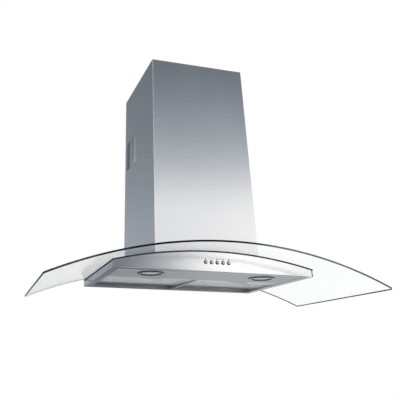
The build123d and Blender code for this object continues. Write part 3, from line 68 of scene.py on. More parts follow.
# ---------------------------------------------------------------- node wiring
class Bench:
    """Places and wires the nodes of one node tree."""

    def __init__(self, tree: bpy.types.NodeTree) -> None:
        """Start on an empty tree.

        Args:
            tree: the material, world or group tree to fill.
        """
        self.tree = tree
        tree.nodes.clear()

    def put(
        self, kind: str, wires: dict[Any, Any] | None = None, **settings: Any
    ) -> bpy.types.Node:
        """Place one node.

        Args:
            kind: the node's Blender type name.
            wires: for each input, by name or number, a socket to link or a plain value.
            settings: attributes to set on the node.

        Returns:
            The new node.
        """
        node = self.tree.nodes.new(kind)
        for attribute, setting in settings.items():
            setattr(node, attribute, setting)
        for socket, source in (wires or {}).items():
            if isinstance(source, bpy.types.NodeSocket):
                self.tree.links.new(source, node.inputs[socket])
            else:
                node.inputs[socket].default_value = source
        return node

    def maths(self, operation: str, *terms: Any, clamp: bool = False) -> bpy.types.NodeSocket:
        """Work out one number from others.

        Args:
            operation: the Math node's operation.
            terms: sockets or numbers, in the node's order.
            clamp: keep the result between 0 and 1.

        Returns:
            The result's socket.
        """
        wires = dict(enumerate(terms))
        return self.put("ShaderNodeMath", wires, operation=operation, use_clamp=clamp).outputs[0]

    def remap(
        self, source: Any, start: Span, end: Span = FULL, smooth: bool = True
    ) -> bpy.types.NodeSocket:
        """Carry one range of a number over to another.

        Args:
            source: the socket to read.
            start: the range it is read over.
            end: the range it is turned into.
            smooth: ease in and out of the range.

        Returns:
            The result's socket.
        """
        wires = {0: source, 1: start[0], 2: start[1], 3: end[0], 4: end[1]}
        kind = "SMOOTHSTEP" if smooth else "LINEAR"
        return self.put("ShaderNodeMapRange", wires, interpolation_type=kind).outputs[0]

    def blend(self, factor: Any, first: Any, second: Any, how: str = "MIX") -> bpy.types.NodeSocket:
        """Mix two colours.

        Args:
            factor: the second colour's share.
            first: a colour or its socket.
            second: a colour or its socket.
            how: the Mix node's blend type.

        Returns:
            The mixed colour's socket.
        """
        node = self.put("ShaderNodeMix", data_type="RGBA", blend_type=how)
        colour_sockets = [socket for socket in node.inputs if socket.type == "RGBA"]
        pairs = zip((node.inputs[0], *colour_sockets), (factor, first, second))
        for socket, source in pairs:
            if isinstance(source, bpy.types.NodeSocket):
                self.tree.links.new(source, socket)
            elif isinstance(source, tuple):
                socket.default_value = (*source, 1.0)
            else:
                socket.default_value = source
        return node.outputs[2]

    def levels(self, source: Any, stops: Stops) -> bpy.types.NodeSocket:
        """Turn a number between 0 and 1 into another by way of a curve of stops.

        Args:
            source: the socket to read.
            stops: pairs of the number read and the number given back.

        Returns:
            The result's socket.
        """
        ramp = self.put("ShaderNodeValToRGB", {0: source})
        elements = ramp.color_ramp.elements
        elements.remove(elements[1])
        for number, (place, level) in enumerate(stops):
            element = elements[0] if number == 0 else elements.new(place)
            element.position = place
            element.color = (level, level, level, 1.0)
        return ramp.outputs[0]

    def place(self) -> bpy.types.NodeSocket:
        """Return the place on the piece, which is its place in the frame, in metres."""
        return self.put("ShaderNodeTexCoord").outputs["Object"]

    def parts(self, vector: bpy.types.NodeSocket) -> Any:
        """Return the outputs X, Y and Z that a vector comes apart into."""
        return self.put("ShaderNodeSeparateXYZ", {0: vector}).outputs

    def away(self, right: Any, up: Any) -> bpy.types.NodeSocket:
        """Return how far a point of a plane is from the plane's middle."""
        flat = self.put("ShaderNodeCombineXYZ", {0: right, 1: up}).outputs[0]
        return self.put("ShaderNodeVectorMath", {0: flat}, operation="LENGTH").outputs["Value"]

    def noise(self, place: Any, scale: Any, detail: float) -> bpy.types.NodeSocket:
        """Read a cloudy noise.

        Args:
            place: the socket of the place that it is read at.
            scale: how many clouds lie on a metre.
            detail: how many finer noises are laid over it.

        Returns:
            The noise's socket.
        """
        wires = {"Vector": place, "Scale": scale, "Detail": detail}
        return self.put("ShaderNodeTexNoise", wires).outputs[0]

    def bump(self, height: Any, strength: float, distance: float = 0.0001) -> bpy.types.NodeSocket:
        """Turn a height over the surface into a normal.

        Args:
            height: the height's socket.
            strength: how strongly it shows.
            distance: how high a value of 1 stands, in metres.

        Returns:
            The normal's socket.
        """
        wires = {"Strength": strength, "Distance": distance, "Height": height}
        return self.put("ShaderNodeBump", wires).outputs[0]


class Effect:
    """A shader node group that several finishes share."""

    NAME: ClassVar[str]
    INPUTS: ClassVar[tuple[tuple[str, str, Any], ...]]
    OUTPUTS: ClassVar[tuple[tuple[str, str], ...]]

    @classmethod
    def tree(cls) -> bpy.types.NodeTree:
        """Find the group's tree, or build it the first time.

        Returns:
            The group's tree.
        """
        found = bpy.data.node_groups.get(cls.NAME)
        if found is not None:
            return found
        tree = bpy.data.node_groups.new(cls.NAME, "ShaderNodeTree")
        bench = Bench(tree)
        for name, kind, default in cls.INPUTS:
            socket = tree.interface.new_socket(name, in_out="INPUT", socket_type=kind)
            socket.default_value = default
        for name, kind in cls.OUTPUTS:
            tree.interface.new_socket(name, in_out="OUTPUT", socket_type=kind)
        given = bench.put("NodeGroupInput").outputs
        results = cls.wire(bench, given)
        bench.put("NodeGroupOutput", results)
        return tree

    @classmethod
    def wire(cls, bench: Bench, given: Any) -> dict[str, bpy.types.NodeSocket]:
        """Lay out the group's nodes.

        Args:
            bench: the bench of the group's tree.
            given: the group's inputs.

        Returns:
            The socket for each of the group's outputs.
        """
        raise NotImplementedError

    @classmethod
    def place(cls, bench: Bench, **values: Any) -> bpy.types.Node:
        """Put the group into a material.

        Args:
            bench: the bench of the material's tree.
            values: the group's inputs, with underscores for spaces.

        Returns:
            The group's node.
        """
        wires = {name.replace("_", " "): value for name, value in values.items()}
        return bench.put("ShaderNodeGroup", wires, node_tree=cls.tree())


class BrushLines(Effect):
    """Fine parallel brushing, with slow cloudy changes along the sheet."""

    NAME = "brush_lines"
    INPUTS = (
        ("Stretch", "NodeSocketVector", (1.0, 1.0, 1.0)),
        ("Cloud Scale", "NodeSocketFloat", 6.0),
    )
    OUTPUTS = (("Lines", "NodeSocketFloat"), ("Clouds", "NodeSocketFloat"))

    @classmethod
    def wire(cls, bench: Bench, given: Any) -> dict[str, bpy.types.NodeSocket]:
        """Lay out the stretched noise and the cloudy noise.

        Args:
            bench: the bench of the group's tree.
            given: the group's inputs.

        Returns:
            The socket for each of the group's outputs.
        """
        place = bench.place()
        stretched = bench.put(
            "ShaderNodeVectorMath", {0: place, 1: given["Stretch"]}, operation="MULTIPLY"
        ).outputs[0]
        lines = bench.noise(stretched, scale=1.0, detail=3.0)
        clouds = bench.noise(place, scale=given["Cloud Scale"], detail=2.0)
        return {"Lines": lines, "Clouds": clouds}


class RubbedEdge(Effect):
    """A mask of the narrow band along a piece's edges, where handling polishes it."""

    NAME = "rubbed_edge"
    INPUTS = (("Width", "NodeSocketFloat", 0.001),)
    OUTPUTS = (("Mask", "NodeSocketFloat"),)

    @classmethod
    def wire(cls, bench: Bench, given: Any) -> dict[str, bpy.types.NodeSocket]:
        """Compare the rounded normal with the true one.

        Args:
            bench: the bench of the group's tree.
            given: the group's inputs.

        Returns:
            The socket for each of the group's outputs.
        """
        rounded = bench.put("ShaderNodeBevel", {"Radius": given["Width"]}, samples=4).outputs[0]
        true = bench.put("ShaderNodeNewGeometry").outputs["Normal"]
        agree = bench.put("ShaderNodeVectorMath", {0: rounded, 1: true}, operation="DOT_PRODUCT")
        patches = bench.put("ShaderNodeTexNoise", {"Scale": 180.0, "Detail": 3.0}).outputs[0]
        band = bench.remap(agree.outputs["Value"], (0.999, 0.9))
        return {"Mask": bench.maths("MULTIPLY", band, bench.remap(patches, (0.3, 0.6), (0.5, 1.0)))}


class SettledDust(Effect):
    """A mask of thin dust on faces that look up."""

    NAME = "settled_dust"
    INPUTS = (("Amount", "NodeSocketFloat", 0.5),)
    OUTPUTS = (("Mask", "NodeSocketFloat"),)

    @classmethod
    def wire(cls, bench: Bench, given: Any) -> dict[str, bpy.types.NodeSocket]:
        """Multiply how far the face looks up by a patchy noise.

        Args:
            bench: the bench of the group's tree.
            given: the group's inputs.

        Returns:
            The socket for each of the group's outputs.
        """
        normal = bench.put("ShaderNodeNewGeometry").outputs["Normal"]
        lying = bench.remap(bench.parts(normal)["Z"], (0.4, 1.0))
        patches = bench.noise(bench.place(), scale=22.0, detail=5.0)
        patchy = bench.remap(patches, PATCHES, (0.3, 1.0))
        dusty = bench.maths("MULTIPLY", lying, patchy)
        return {"Mask": bench.maths("MULTIPLY", dusty, given["Amount"])}


class Spangle(Effect):
    """The crystal pattern of galvanised sheet."""

    NAME = "spangle"
    INPUTS = (("Scale", "NodeSocketFloat", 90.0),)
    OUTPUTS = (("Tone", "NodeSocketFloat"), ("Height", "NodeSocketFloat"))

    @classmethod
    def wire(cls, bench: Bench, given: Any) -> dict[str, bpy.types.NodeSocket]:
        """Give each crystal its own tone, with fine feathering inside it.

        Args:
            bench: the bench of the group's tree.
            given: the group's inputs.

        Returns:
            The socket for each of the group's outputs.
        """
        place = bench.place()
        cells = bench.put("ShaderNodeTexVoronoi", {"Vector": place, "Scale": given["Scale"]})
        tone = bench.put("ShaderNodeSeparateColor", {0: cells.outputs["Color"]}).outputs[0]
        height = bench.maths("MULTIPLY_ADD", bench.noise(place, scale=900.0, detail=2.0), 0.3, tone)
        return {"Tone": tone, "Height": height}


class FineGrit(Effect):
    """The small even roughness of moulded, cast or painted surfaces."""

    NAME = "fine_grit"
    INPUTS = (("Scale", "NodeSocketFloat", 1500.0),)
    OUTPUTS = (("Height", "NodeSocketFloat"), ("Patches", "NodeSocketFloat"))

    @classmethod
    def wire(cls, bench: Bench, given: Any) -> dict[str, bpy.types.NodeSocket]:
        """Lay out a fine noise for the surface and a coarse one for its tone.

        Args:
            bench: the bench of the group's tree.
            given: the group's inputs.

        Returns:
            The socket for each of the group's outputs.
        """
        place = bench.place()
        fine = bench.noise(place, scale=given["Scale"], detail=3.0)
        return {"Height": fine, "Patches": bench.noise(place, scale=35.0, detail=4.0)}


class Facing(Effect):
    """Masks of the faces that look down or to the front, and of the stretch before the wall."""

    NAME = "facing"
    INPUTS = (("Reach", "NodeSocketFloat", 0.05),)
    OUTPUTS = (
        ("Down", "NodeSocketFloat"),
        ("Front", "NodeSocketFloat"),
        ("Near Wall", "NodeSocketFloat"),
    )
    # A face looks down or to the front when that part of its normal is below this.
    LOOKING: ClassVar[float] = -0.5

    @classmethod
    def wire(cls, bench: Bench, given: Any) -> dict[str, bpy.types.NodeSocket]:
        """Compare the true normal with straight down and out, and the place with the wall.

        Args:
            bench: the bench of the group's tree.
            given: the group's inputs.

        Returns:
            The socket for each of the group's outputs.
        """
        ways = bench.parts(bench.put("ShaderNodeNewGeometry").outputs["True Normal"])
        depth = bench.parts(bench.place())["Y"]
        ahead = bench.maths("DIVIDE", bench.maths("MULTIPLY", depth, -1.0), given["Reach"])
        return {
            "Down": bench.maths("LESS_THAN", ways["Z"], cls.LOOKING),
            "Front": bench.maths("LESS_THAN", ways["Y"], cls.LOOKING),
            "Near Wall": bench.remap(ahead, (1.0, 0.2)),
        }


# ---------------------------------------------------------------- finishes
class Grain(Enum):
    """Which way the brushing runs, as the stretch of its noise along x, y and z."""

    ACROSS = (14.0, 14.0, 2600.0)
    DEEP = (2600.0, 14.0, 2600.0)


def tint(colour: Colour, times: float, plus: float = 0.0, most: float = 1.0) -> Colour:
    """Make a colour lighter or darker.

    Args:
        colour: the colour to start from.
        times: what each channel is multiplied by.
        plus: what is added to it.
        most: the highest value that a channel may get.

    Returns:
        The new colour.
    """
    return tuple(min(most, times * channel + plus) for channel in colour)


def rub_edges(
    bench: Bench, toned: Any, width: float, share: float, bright: Colour
) -> bpy.types.NodeSocket:
    """Brighten a colour along the piece's edges.

    Args:
        bench: the bench of the material's tree.
        toned: the colour's socket.
        width: how wide the rubbed band is.
        share: how much of the bright colour shows there.
        bright: the colour of the rubbed metal or plastic.

    Returns:
        The mixed colour's socket.
    """
    mask = RubbedEdge.place(bench, Width=width).outputs["Mask"]
    return bench.blend(bench.maths("MULTIPLY", mask, share), toned, bright)


def speckle(
    bench: Bench, grit: Any, colour: Colour, other: Colour, span: Span = PATCHES
) -> bpy.types.NodeSocket:
    """Mix two tones by the slow patches of a grit.

    Args:
        bench: the bench of the material's tree.
        grit: the outputs of the grit's node.
        colour: the tone between the patches.
        other: the tone of the patches.
        span: the range that the patches are read over.

    Returns:
        The mixed colour's socket.
    """
    return bench.blend(bench.remap(grit["Patches"], span), colour, other)


@dataclass(frozen=True)
class Finish:
    """A surface finish and the material that shows it."""

    name: str

    def material(self) -> bpy.types.Material:
        """Find the finish's material, or make it the first time.

        Returns:
            The material.
        """
        label = f"{self.name}_finish"
        found = bpy.data.materials.get(label)
        if found is not None:
            return found
        material = bpy.data.materials.new(label)
        material.use_nodes = True
        bench = Bench(material.node_tree)
        shader = self.surface(bench)
        bench.put("ShaderNodeOutputMaterial", {"Surface": shader.outputs[0]})
        return material

    def surface(self, bench: Bench) -> bpy.types.Node:
        """Lay out the finish's nodes.

        Args:
            bench: the bench of the material's tree.

        Returns:
            The shader node.
        """
        raise NotImplementedError


@dataclass(frozen=True)
class BrushedSteel(Finish):
    """Stainless sheet with a directional brushed finish.

    The shades stand for the corners that little of the room's light gets to.
    """

    colour: Colour = (0.80, 0.80, 0.82)
    grain: Grain = Grain.ACROSS
    roughness: float = 0.30
    anisotropy: float = 0.75
    # How far the smear of the reflections is turned, as a share of a full turn.
    smear_turn: float = 0.25
    # Half the width, and the front, of a cover's inner face, which gets painted shade: it is
    # painted near black.
    inside: Span | None = None
    # The painted shade of the faces that look down, on the left and on the right.
    under: tuple[Colour, Colour] | None = None
    # Where the painted dark reflection on the return at the sheet's right end starts.
    ends: float | None = None
    # How dark the sheet gets towards the wall, and how far before it that starts.
    wall_shade: float = 0.0
    wall_reach: float = 0.05
    # How dark the faces that look to the front are.
    front_shade: float = 0.0

    RUBBED: ClassVar[Colour] = (0.90, 0.90, 0.91)
    # Painted shade: the near black that a cover's inner face is painted.
    INSIDE_SHADE: ClassVar[Colour] = (0.06, 0.061, 0.065)
    # Painted dark reflection on the return at the sheet's right end.
    END_REFLECTION: ClassVar[Colour] = (0.03, 0.035, 0.04)
    SHADE: ClassVar[Colour] = (0.03, 0.03, 0.033)
    # Painted shade: the near black of the line along the right-hand rim's folds.
    FOLD_SHADE: ClassVar[Colour] = (0.02, 0.022, 0.025)
    # Where the painted shade along the right-hand rim's folds lies, over a reach from the middle to
    # the right.
    FOLD_SHADE_REACH: ClassVar[float] = 0.3
    FOLD_SHADE_SHARE: ClassVar[float] = 0.85
    FOLD_SHADE_STOPS: ClassVar[Stops] = (
        (0.848, 0), (0.852, 1), (0.858, 1), (0.864, 0), (0.898, 0), (0.906, 1), (1.0, 1)
    )
    # Where the underside's painted shade goes over from the left tone to the right one.
    UNDER_SPAN: ClassVar[Span] = (-0.2, 0.2)
    # The share of the wall's shade on the faces that don't look down.
    UPRIGHT_SHARE: ClassVar[float] = 0.28

    def surface(self, bench: Bench) -> bpy.types.Node:
        """Lay out the brushing, the cloudiness and the rubbed edges.

        Args:
            bench: the bench of the material's tree.

        Returns:
            The shader node.
        """
        brushing = BrushLines.place(bench, Stretch=self.grain.value, Cloud_Scale=5.0).outputs
        lines, clouds = brushing["Lines"], brushing["Clouds"]
        share = bench.remap(lines, MIDDLE)
        toned = bench.blend(share, tint(self.colour, 0.97), tint(self.colour, 1.02))
        toned = rub_edges(bench, toned, width=0.0007, share=0.5, bright=self.RUBBED)
        finer = bench.remap(lines, (0.25, 0.75), (-0.02, 0.02), smooth=False)
        slower = bench.remap(clouds, MIDDLE, (-0.015, 0.02), smooth=False)
        tangent = bench.put("ShaderNodeTangent", direction_type="RADIAL", axis="Z")
        return bench.put(
            "ShaderNodeBsdfPrincipled",
            {
                "Base Color": self.shaded(bench, toned),
                "Metallic": 1.0,
                "Roughness": bench.maths("ADD", bench.maths("ADD", finer, slower), self.roughness),
                "Anisotropic": self.anisotropy,
                "Anisotropic Rotation": self.smear_turn,
                "Tangent": tangent.outputs[0],
                "Normal": bench.bump(lines, strength=0.02),
            },
        )

    def shaded(self, bench: Bench, toned: Any) -> bpy.types.NodeSocket:
        """Paint shade on the inner face and the underside, paint a dark reflection on the right
        end, and paint shade in the corners.

        Args:
            bench: the bench of the material's tree.
            toned: the socket of the brushed colour.

        Returns:
            The colour's socket.
        """
        if self.inside is not None:
            # Painted shade: the cover's inner face is painted near black.
            toned = bench.blend(self.shade_inside(bench), toned, self.INSIDE_SHADE)
        facing = Facing.place(bench, Reach=self.wall_reach).outputs
        if self.under is not None:
            # Painted shade on the faces that look down.
            toned = bench.blend(facing["Down"], toned, self.under_shade(bench))
        if self.ends is not None:
            # Painted dark reflection on the return at the right end.
            end = bench.maths("GREATER_THAN", bench.parts(bench.place())["X"], self.ends)
            toned = bench.blend(end, toned, self.END_REFLECTION)
        if self.wall_shade:
            upright = self.UPRIGHT_SHARE
            part = bench.maths("MULTIPLY_ADD", facing["Down"], 1.0 - upright, upright)
            part = bench.maths("MULTIPLY", part, self.wall_shade)
            shade = bench.maths("MULTIPLY", facing["Near Wall"], part)
            toned = bench.blend(shade, toned, self.SHADE)
        if self.front_shade:
            shade = bench.maths("MULTIPLY", facing["Front"], self.front_shade)
            toned = bench.blend(shade, toned, self.SHADE)
        return toned

    def under_shade(self, bench: Bench) -> bpy.types.NodeSocket:
        """Paint shade on the faces that look down, lighter to the right, with a dark line of
        painted shade along the right-hand rim.

        Args:
            bench: the bench of the material's tree.

        Returns:
            The colour's socket.
        """
        left, right = self.under
        across = bench.parts(bench.place())["X"]
        toned = bench.blend(bench.remap(across, self.UNDER_SPAN), left, right)
        # Painted shade: a dark line along the right-hand rim's folds.
        fold = bench.levels(bench.maths("DIVIDE", across, self.FOLD_SHADE_REACH), self.FOLD_SHADE_STOPS)
        return bench.blend(bench.maths("MULTIPLY", fold, self.FOLD_SHADE_SHARE), toned, self.FOLD_SHADE)

    def shade_inside(self, bench: Bench) -> bpy.types.NodeSocket:
        """Mask the inner face of a folded cover, which is painted near black as painted shade.

        Args:
            bench: the bench of the material's tree.

        Returns:
            The mask's socket: 1 behind the outer faces.
        """
        half, front = self.inside
        parts = bench.parts(bench.place())
        within = bench.maths("LESS_THAN", bench.maths("ABSOLUTE", parts["X"]), half)
        behind = bench.maths("GREATER_THAN", parts["Y"], front)
        return bench.maths("MULTIPLY", within, behind)


@dataclass(frozen=True)
class ZincSheet(Finish):
    """Galvanised sheet with a faint spangle."""

    colour: Colour = (0.58, 0.60, 0.62)
    rubbed: Colour = (0.74, 0.75, 0.76)
    dust: Colour = (0.50, 0.49, 0.47)

    def surface(self, bench: Bench) -> bpy.types.Node:
        """Lay out the spangle, the dust and the rubbed edges.

        Args:
            bench: the bench of the material's tree.

        Returns:
            The shader node.
        """
        spangle = Spangle.place(bench, Scale=110.0).outputs
        dust = SettledDust.place(bench, Amount=0.35).outputs["Mask"]
        toned = bench.blend(spangle["Tone"], tint(self.colour, 0.86), tint(self.colour, 1.12))
        toned = rub_edges(bench, toned, width=0.0006, share=1.0, bright=self.rubbed)
        toned = bench.blend(dust, toned, self.dust)
        rough = bench.remap(spangle["Tone"], FULL, (0.36, 0.50))
        rough = bench.maths("MULTIPLY_ADD", dust, 0.3, rough)
        bump = bench.bump(spangle["Height"], strength=0.12, distance=0.0003)
        return bench.put(
            "ShaderNodeBsdfPrincipled",
            {"Base Color": toned, "Metallic": 1.0, "Roughness": rough, "Normal": bump},
        )


@dataclass(frozen=True)
class ClearGlass(Finish):
    """Tempered float glass, seen through its faces."""

    colour: Colour = (0.985, 0.993, 0.996)
    # Little bend, so that the thin sheet mirrors little and the room shows white through it.
    bend: float = 1.035

    def surface(self, bench: Bench) -> bpy.types.Node:
        """Lay out a clear face with a trace of haze.

        Args:
            bench: the bench of the material's tree.

        Returns:
            The shader node.
        """
        grit = FineGrit.place(bench, Scale=60.0).outputs
        rough = bench.remap(grit["Patches"], (0.4, 0.75), (0.12, 0.14))
        return bench.put(
            "ShaderNodeBsdfPrincipled",
            {
                "Base Color": (*self.colour, 1.0),
                "Roughness": rough,
                "IOR": self.bend,
                "Transmission Weight": 1.0,
            },
        )


@dataclass(frozen=True)
class GroundEdge(Finish):
    """The ground and polished edge of float glass, dark green where one looks along the sheet, with
    a painted reflection that pales it in bands from left to right.
    """

    deep: Colour = (0.003, 0.006, 0.006)
    # The colour of the painted reflection.
    pale: Colour = (0.17, 0.22, 0.205)
    # How pale the painted reflection makes the edge, over a metre from left to right with the sheet
    # in its middle.
    along: Stops = (
        (0.04, 0.12), (0.12, 0.5), (0.19, 0.3), (0.28, 0.05), (0.46, 0.0), (0.56, 0.15),
        (0.62, 0.95), (0.78, 0.95), (0.86, 0.5), (0.95, 0.25),
    )

    def surface(self, bench: Bench) -> bpy.types.Node:
        """Lay out the green depth of the edge with a painted reflection in bands across it, crossed
        by fine slanting streaks, and a painted glint that grows to the right.

        Args:
            bench: the bench of the material's tree.

        Returns:
            The shader node.
        """
        place = bench.place()
        across = bench.parts(place)["X"]
        slanted = bench.put(
            "ShaderNodeMapping",
            {"Vector": place, "Rotation": (0.0, 0.6, 0.0), "Scale": (420.0, 60.0, 40.0)},
        )
        streaks = bench.noise(slanted.outputs[0], scale=1.0, detail=2.0)
        # Painted reflection: how much the edge pales at each place along x.
        share = bench.levels(bench.maths("ADD", across, 0.5), self.along)
        wave = bench.remap(streaks, (0.35, 0.65), (0.35, 1.25))
        share = bench.maths("MULTIPLY", share, wave, clamp=True)
        return bench.put(
            "ShaderNodeBsdfPrincipled",
            {
                "Base Color": bench.blend(share, self.deep, self.pale),
                "Roughness": bench.remap(streaks, MIDDLE, (0.12, 0.3)),
                "IOR": 1.45,
                # Painted glint: the edge reflects more towards the right.
                "Specular IOR Level": bench.remap(across, (0.0, 0.15), (0.06, 0.5)),
            },
        )


@dataclass(frozen=True)
class Rubber(Finish):
    """Extruded black rubber."""

    colour: Colour = (0.014, 0.014, 0.015)

    def surface(self, bench: Bench) -> bpy.types.Node:
        """Lay out a matt black with a dusty bloom.

        Args:
            bench: the bench of the material's tree.

        Returns:
            The shader node.
        """
        grit = FineGrit.place(bench, Scale=1800.0).outputs
        toned = speckle(bench, grit, self.colour, tint(self.colour, 2.6), (0.4, 0.7))
        rough = bench.remap(grit["Patches"], MIDDLE, (0.6, 0.78))
        bump = bench.bump(grit["Height"], strength=0.25)
        return bench.put(
            "ShaderNodeBsdfPrincipled", {"Base Color": toned, "Roughness": rough, "Normal": bump}
        )


@dataclass(frozen=True)
class MouldedPlastic(Finish):
    """Injection-moulded plastic with a fine spark-eroded texture."""

    colour: Colour = (0.022, 0.022, 0.024)
    roughness: float = 0.42

    def surface(self, bench: Bench) -> bpy.types.Node:
        """Lay out the moulded texture, its tone and the edges.

        Args:
            bench: the bench of the material's tree.

        Returns:
            The shader node.
        """
        grit = FineGrit.place(bench, Scale=1300.0).outputs
        toned = speckle(bench, grit, self.colour, tint(self.colour, 1.25, plus=0.004, most=0.95))
        worn = tint(self.colour, 1.5, plus=0.02, most=0.95)
        toned = rub_edges(bench, toned, width=0.0006, share=0.6, bright=worn)
        span = (self.roughness - 0.06, self.roughness + 0.08)
        rough = bench.remap(grit["Patches"], MIDDLE, span)
        bump = bench.bump(grit["Height"], strength=0.3)
        return bench.put(
            "ShaderNodeBsdfPrincipled", {"Base Color": toned, "Roughness": rough, "Normal": bump}
        )


@dataclass(frozen=True)
class PolishedMetal(Finish):
    """Plated or polished metal: chrome rings, screws, pins and the shaft."""

    colour: Colour = (0.78, 0.79, 0.80)
    roughness: float = 0.14
    rubbed: Colour = (0.92, 0.92, 0.92)

    def surface(self, bench: Bench) -> bpy.types.Node:
        """Lay out a bright plate with faint handling marks.

        Args:
            bench: the bench of the material's tree.

        Returns:
            The shader node.
        """
        grit = FineGrit.place(bench, Scale=700.0).outputs
        toned = speckle(bench, grit, self.colour, tint(self.colour, 0.88))
        toned = rub_edges(bench, toned, width=0.0004, share=0.5, bright=self.rubbed)
        span = (self.roughness - 0.03, self.roughness + 0.06)
        rough = bench.remap(grit["Height"], MIDDLE, span)
        return bench.put(
            "ShaderNodeBsdfPrincipled", {"Base Color": toned, "Metallic": 1.0, "Roughness": rough}
        )


@dataclass(frozen=True)
class RoundFinish(Finish):
    """A finish laid out in rings round a point of the underside."""

    centre_x: float = 0.0
    centre_y: float = 0.0

    def out(self, bench: Bench) -> bpy.types.NodeSocket:
        """Measure how far the place is from the rings' middle.

        Args:
            bench: the bench of the material's tree.

        Returns:
            The distance's socket.
        """
        parts = bench.parts(bench.place())
        right = bench.maths("SUBTRACT", parts["X"], self.centre_x)
        return bench.away(right, bench.maths("SUBTRACT", parts["Y"], self.centre_y))


@dataclass(frozen=True)
class FrostedLens(RoundFinish):
    """Opal lens moulded with fine rings, in front of the lamp's light-emitting chip, with a thin
    ring of painted shade near its edge.
    """

    colour: Colour = (0.80, 0.82, 0.84)
    ring_pitch: float = 0.0022
    # Where the ring of painted shade near the lens's edge lies.
    rim: Span = (0.0235, 0.0262)

    def surface(self, bench: Bench) -> bpy.types.Node:
        """Lay out the rings round the lens's own centre, and the ring of painted shade near its
        edge.

        Args:
            bench: the bench of the material's tree.

        Returns:
            The shader node.
        """
        out = self.out(bench)
        rings = bench.maths("SINE", bench.maths("MULTIPLY", out, 2 * pi / self.ring_pitch))
        # Painted shade: the lens darkens towards its edge.
        toned = bench.blend(bench.remap(out, self.rim), self.colour, tint(self.colour, 0.12))
        return bench.put(
            "ShaderNodeBsdfPrincipled",
            {
                "Base Color": toned,
                "Roughness": bench.remap(rings, (-1.0, 1.0), (0.28, 0.42)),
                "IOR": 1.49,
                "Transmission Weight": 0.25,
                "Normal": bench.bump(rings, strength=0.5, distance=0.0004),
            },
        )


@dataclass(frozen=True)
class CastMetal(Finish):
    """Die-cast or anodised aluminium with a fine grit."""

    colour: Colour = (0.60, 0.61, 0.62)
    roughness: float = 0.45
    metallic: float = 1.0
    grit: float = 900.0
    wall_shade: bool = False

    # How far before the wall the shade starts, how strong it gets, and its tone.
    SHADE_REACH: ClassVar[float] = 0.10
    SHADE_SHARE: ClassVar[float] = 0.6
    SHADE: ClassVar[Colour] = (0.03, 0.03, 0.032)

    def surface(self, bench: Bench) -> bpy.types.Node:
        """Lay out the grit, slow tone changes and the rubbed edges.

        Args:
            bench: the bench of the material's tree.

        Returns:
            The shader node.
        """
        grit = FineGrit.place(bench, Scale=self.grit).outputs
        toned = speckle(bench, grit, self.colour, tint(self.colour, 0.86))
        worn = tint(self.colour, 1.25, most=0.95)
        toned = rub_edges(bench, toned, width=0.0006, share=0.7, bright=worn)
        if self.wall_shade:
            near = Facing.place(bench, Reach=self.SHADE_REACH).outputs["Near Wall"]
            toned = bench.blend(bench.maths("MULTIPLY", near, self.SHADE_SHARE), toned, self.SHADE)
        span = (self.roughness - 0.06, self.roughness + 0.07)
        return bench.put(
            "ShaderNodeBsdfPrincipled",
            {
                "Base Color": toned,
                "Metallic": self.metallic,
                "Roughness": bench.remap(grit["Patches"], MIDDLE, span),
                "Normal": bench.bump(grit["Height"], strength=0.25),
            },
        )


@dataclass(frozen=True)
class ButtonCap(Finish):
    """Lacquered silver button, silver on the middle of its outward face, with a painted dark
    reflection round its rim and on its sides.
    """

    face: Colour = (0.78, 0.79, 0.81)
    # The near black of the painted dark reflection round the disc and on the sides.
    rim: Colour = (0.028, 0.029, 0.032)
    pitch: float = 0.016
    centre_z: float = -0.1465
    face_radius: float = 0.0021
    fade: float = 0.0003
    metallic: float = 0.85
    # A face looks straight out of the panel when its normal's y is below this.
    face_on: float = -0.9

    def surface(self, bench: Bench) -> bpy.types.Node:
        """Lay out the silver disc, which repeats at the buttons' pitch, and the painted dark
        reflection round it.

        Args:
            bench: the bench of the material's tree.

        Returns:
            The shader node.
        """
        parts = bench.parts(bench.place())
        half = self.pitch / 2
        along = bench.maths("WRAP", parts["X"], half, -half)
        up = bench.maths("SUBTRACT", parts["Z"], self.centre_z)
        rim = (self.face_radius, self.face_radius + self.fade)
        within = bench.remap(bench.away(along, up), rim, (1.0, 0.0))
        ways = bench.parts(bench.put("ShaderNodeNewGeometry").outputs["True Normal"])
        # The silver disc; every other face gets the painted dark reflection.
        lit = bench.maths("MULTIPLY", within, bench.maths("LESS_THAN", ways["Y"], self.face_on))
        grit = FineGrit.place(bench, Scale=2200.0).outputs
        return bench.put(
            "ShaderNodeBsdfPrincipled",
            {
                "Base Color": bench.blend(lit, self.rim, self.face),
                "Metallic": bench.maths("MULTIPLY", lit, self.metallic),
                "Roughness": bench.remap(grit["Patches"], MIDDLE, (0.22, 0.32)),
                "Specular IOR Level": 0.25,
            },
        )


@dataclass(frozen=True)
class LampRing(RoundFinish):
    """Smoked chrome ring round a lamp, with a painted highlight on the flat between its two edges.
    """

    smoked: Colour = (0.035, 0.035, 0.037)
    # The colour of the painted highlight on the flat.
    bright: Colour = (0.66, 0.67, 0.69)
    flat_from: float = 0.0285
    flat_to: float = 0.0325
    fade: float = 0.0006
    highlight_share: float = 0.8

    def surface(self, bench: Bench) -> bpy.types.Node:
        """Lay out the painted highlight on the flat and the dark edges.

        Args:
            bench: the bench of the material's tree.

        Returns:
            The shader node.
        """
        out = self.out(bench)
        # Painted highlight: the flat between the edges is painted bright.
        inner = bench.remap(out, (self.flat_from - self.fade, self.flat_from))
        outer = bench.remap(out, (self.flat_to, self.flat_to + self.fade), (1.0, 0.0))
        lit = bench.maths("MULTIPLY", bench.maths("MULTIPLY", inner, outer), self.highlight_share)
        grit = FineGrit.place(bench, Scale=900.0).outputs
        return bench.put(
            "ShaderNodeBsdfPrincipled",
            {
                "Base Color": bench.blend(lit, self.smoked, self.bright),
                "Metallic": 1.0,
                "Roughness": bench.remap(grit["Patches"], MIDDLE, (0.10, 0.16)),
            },
        )


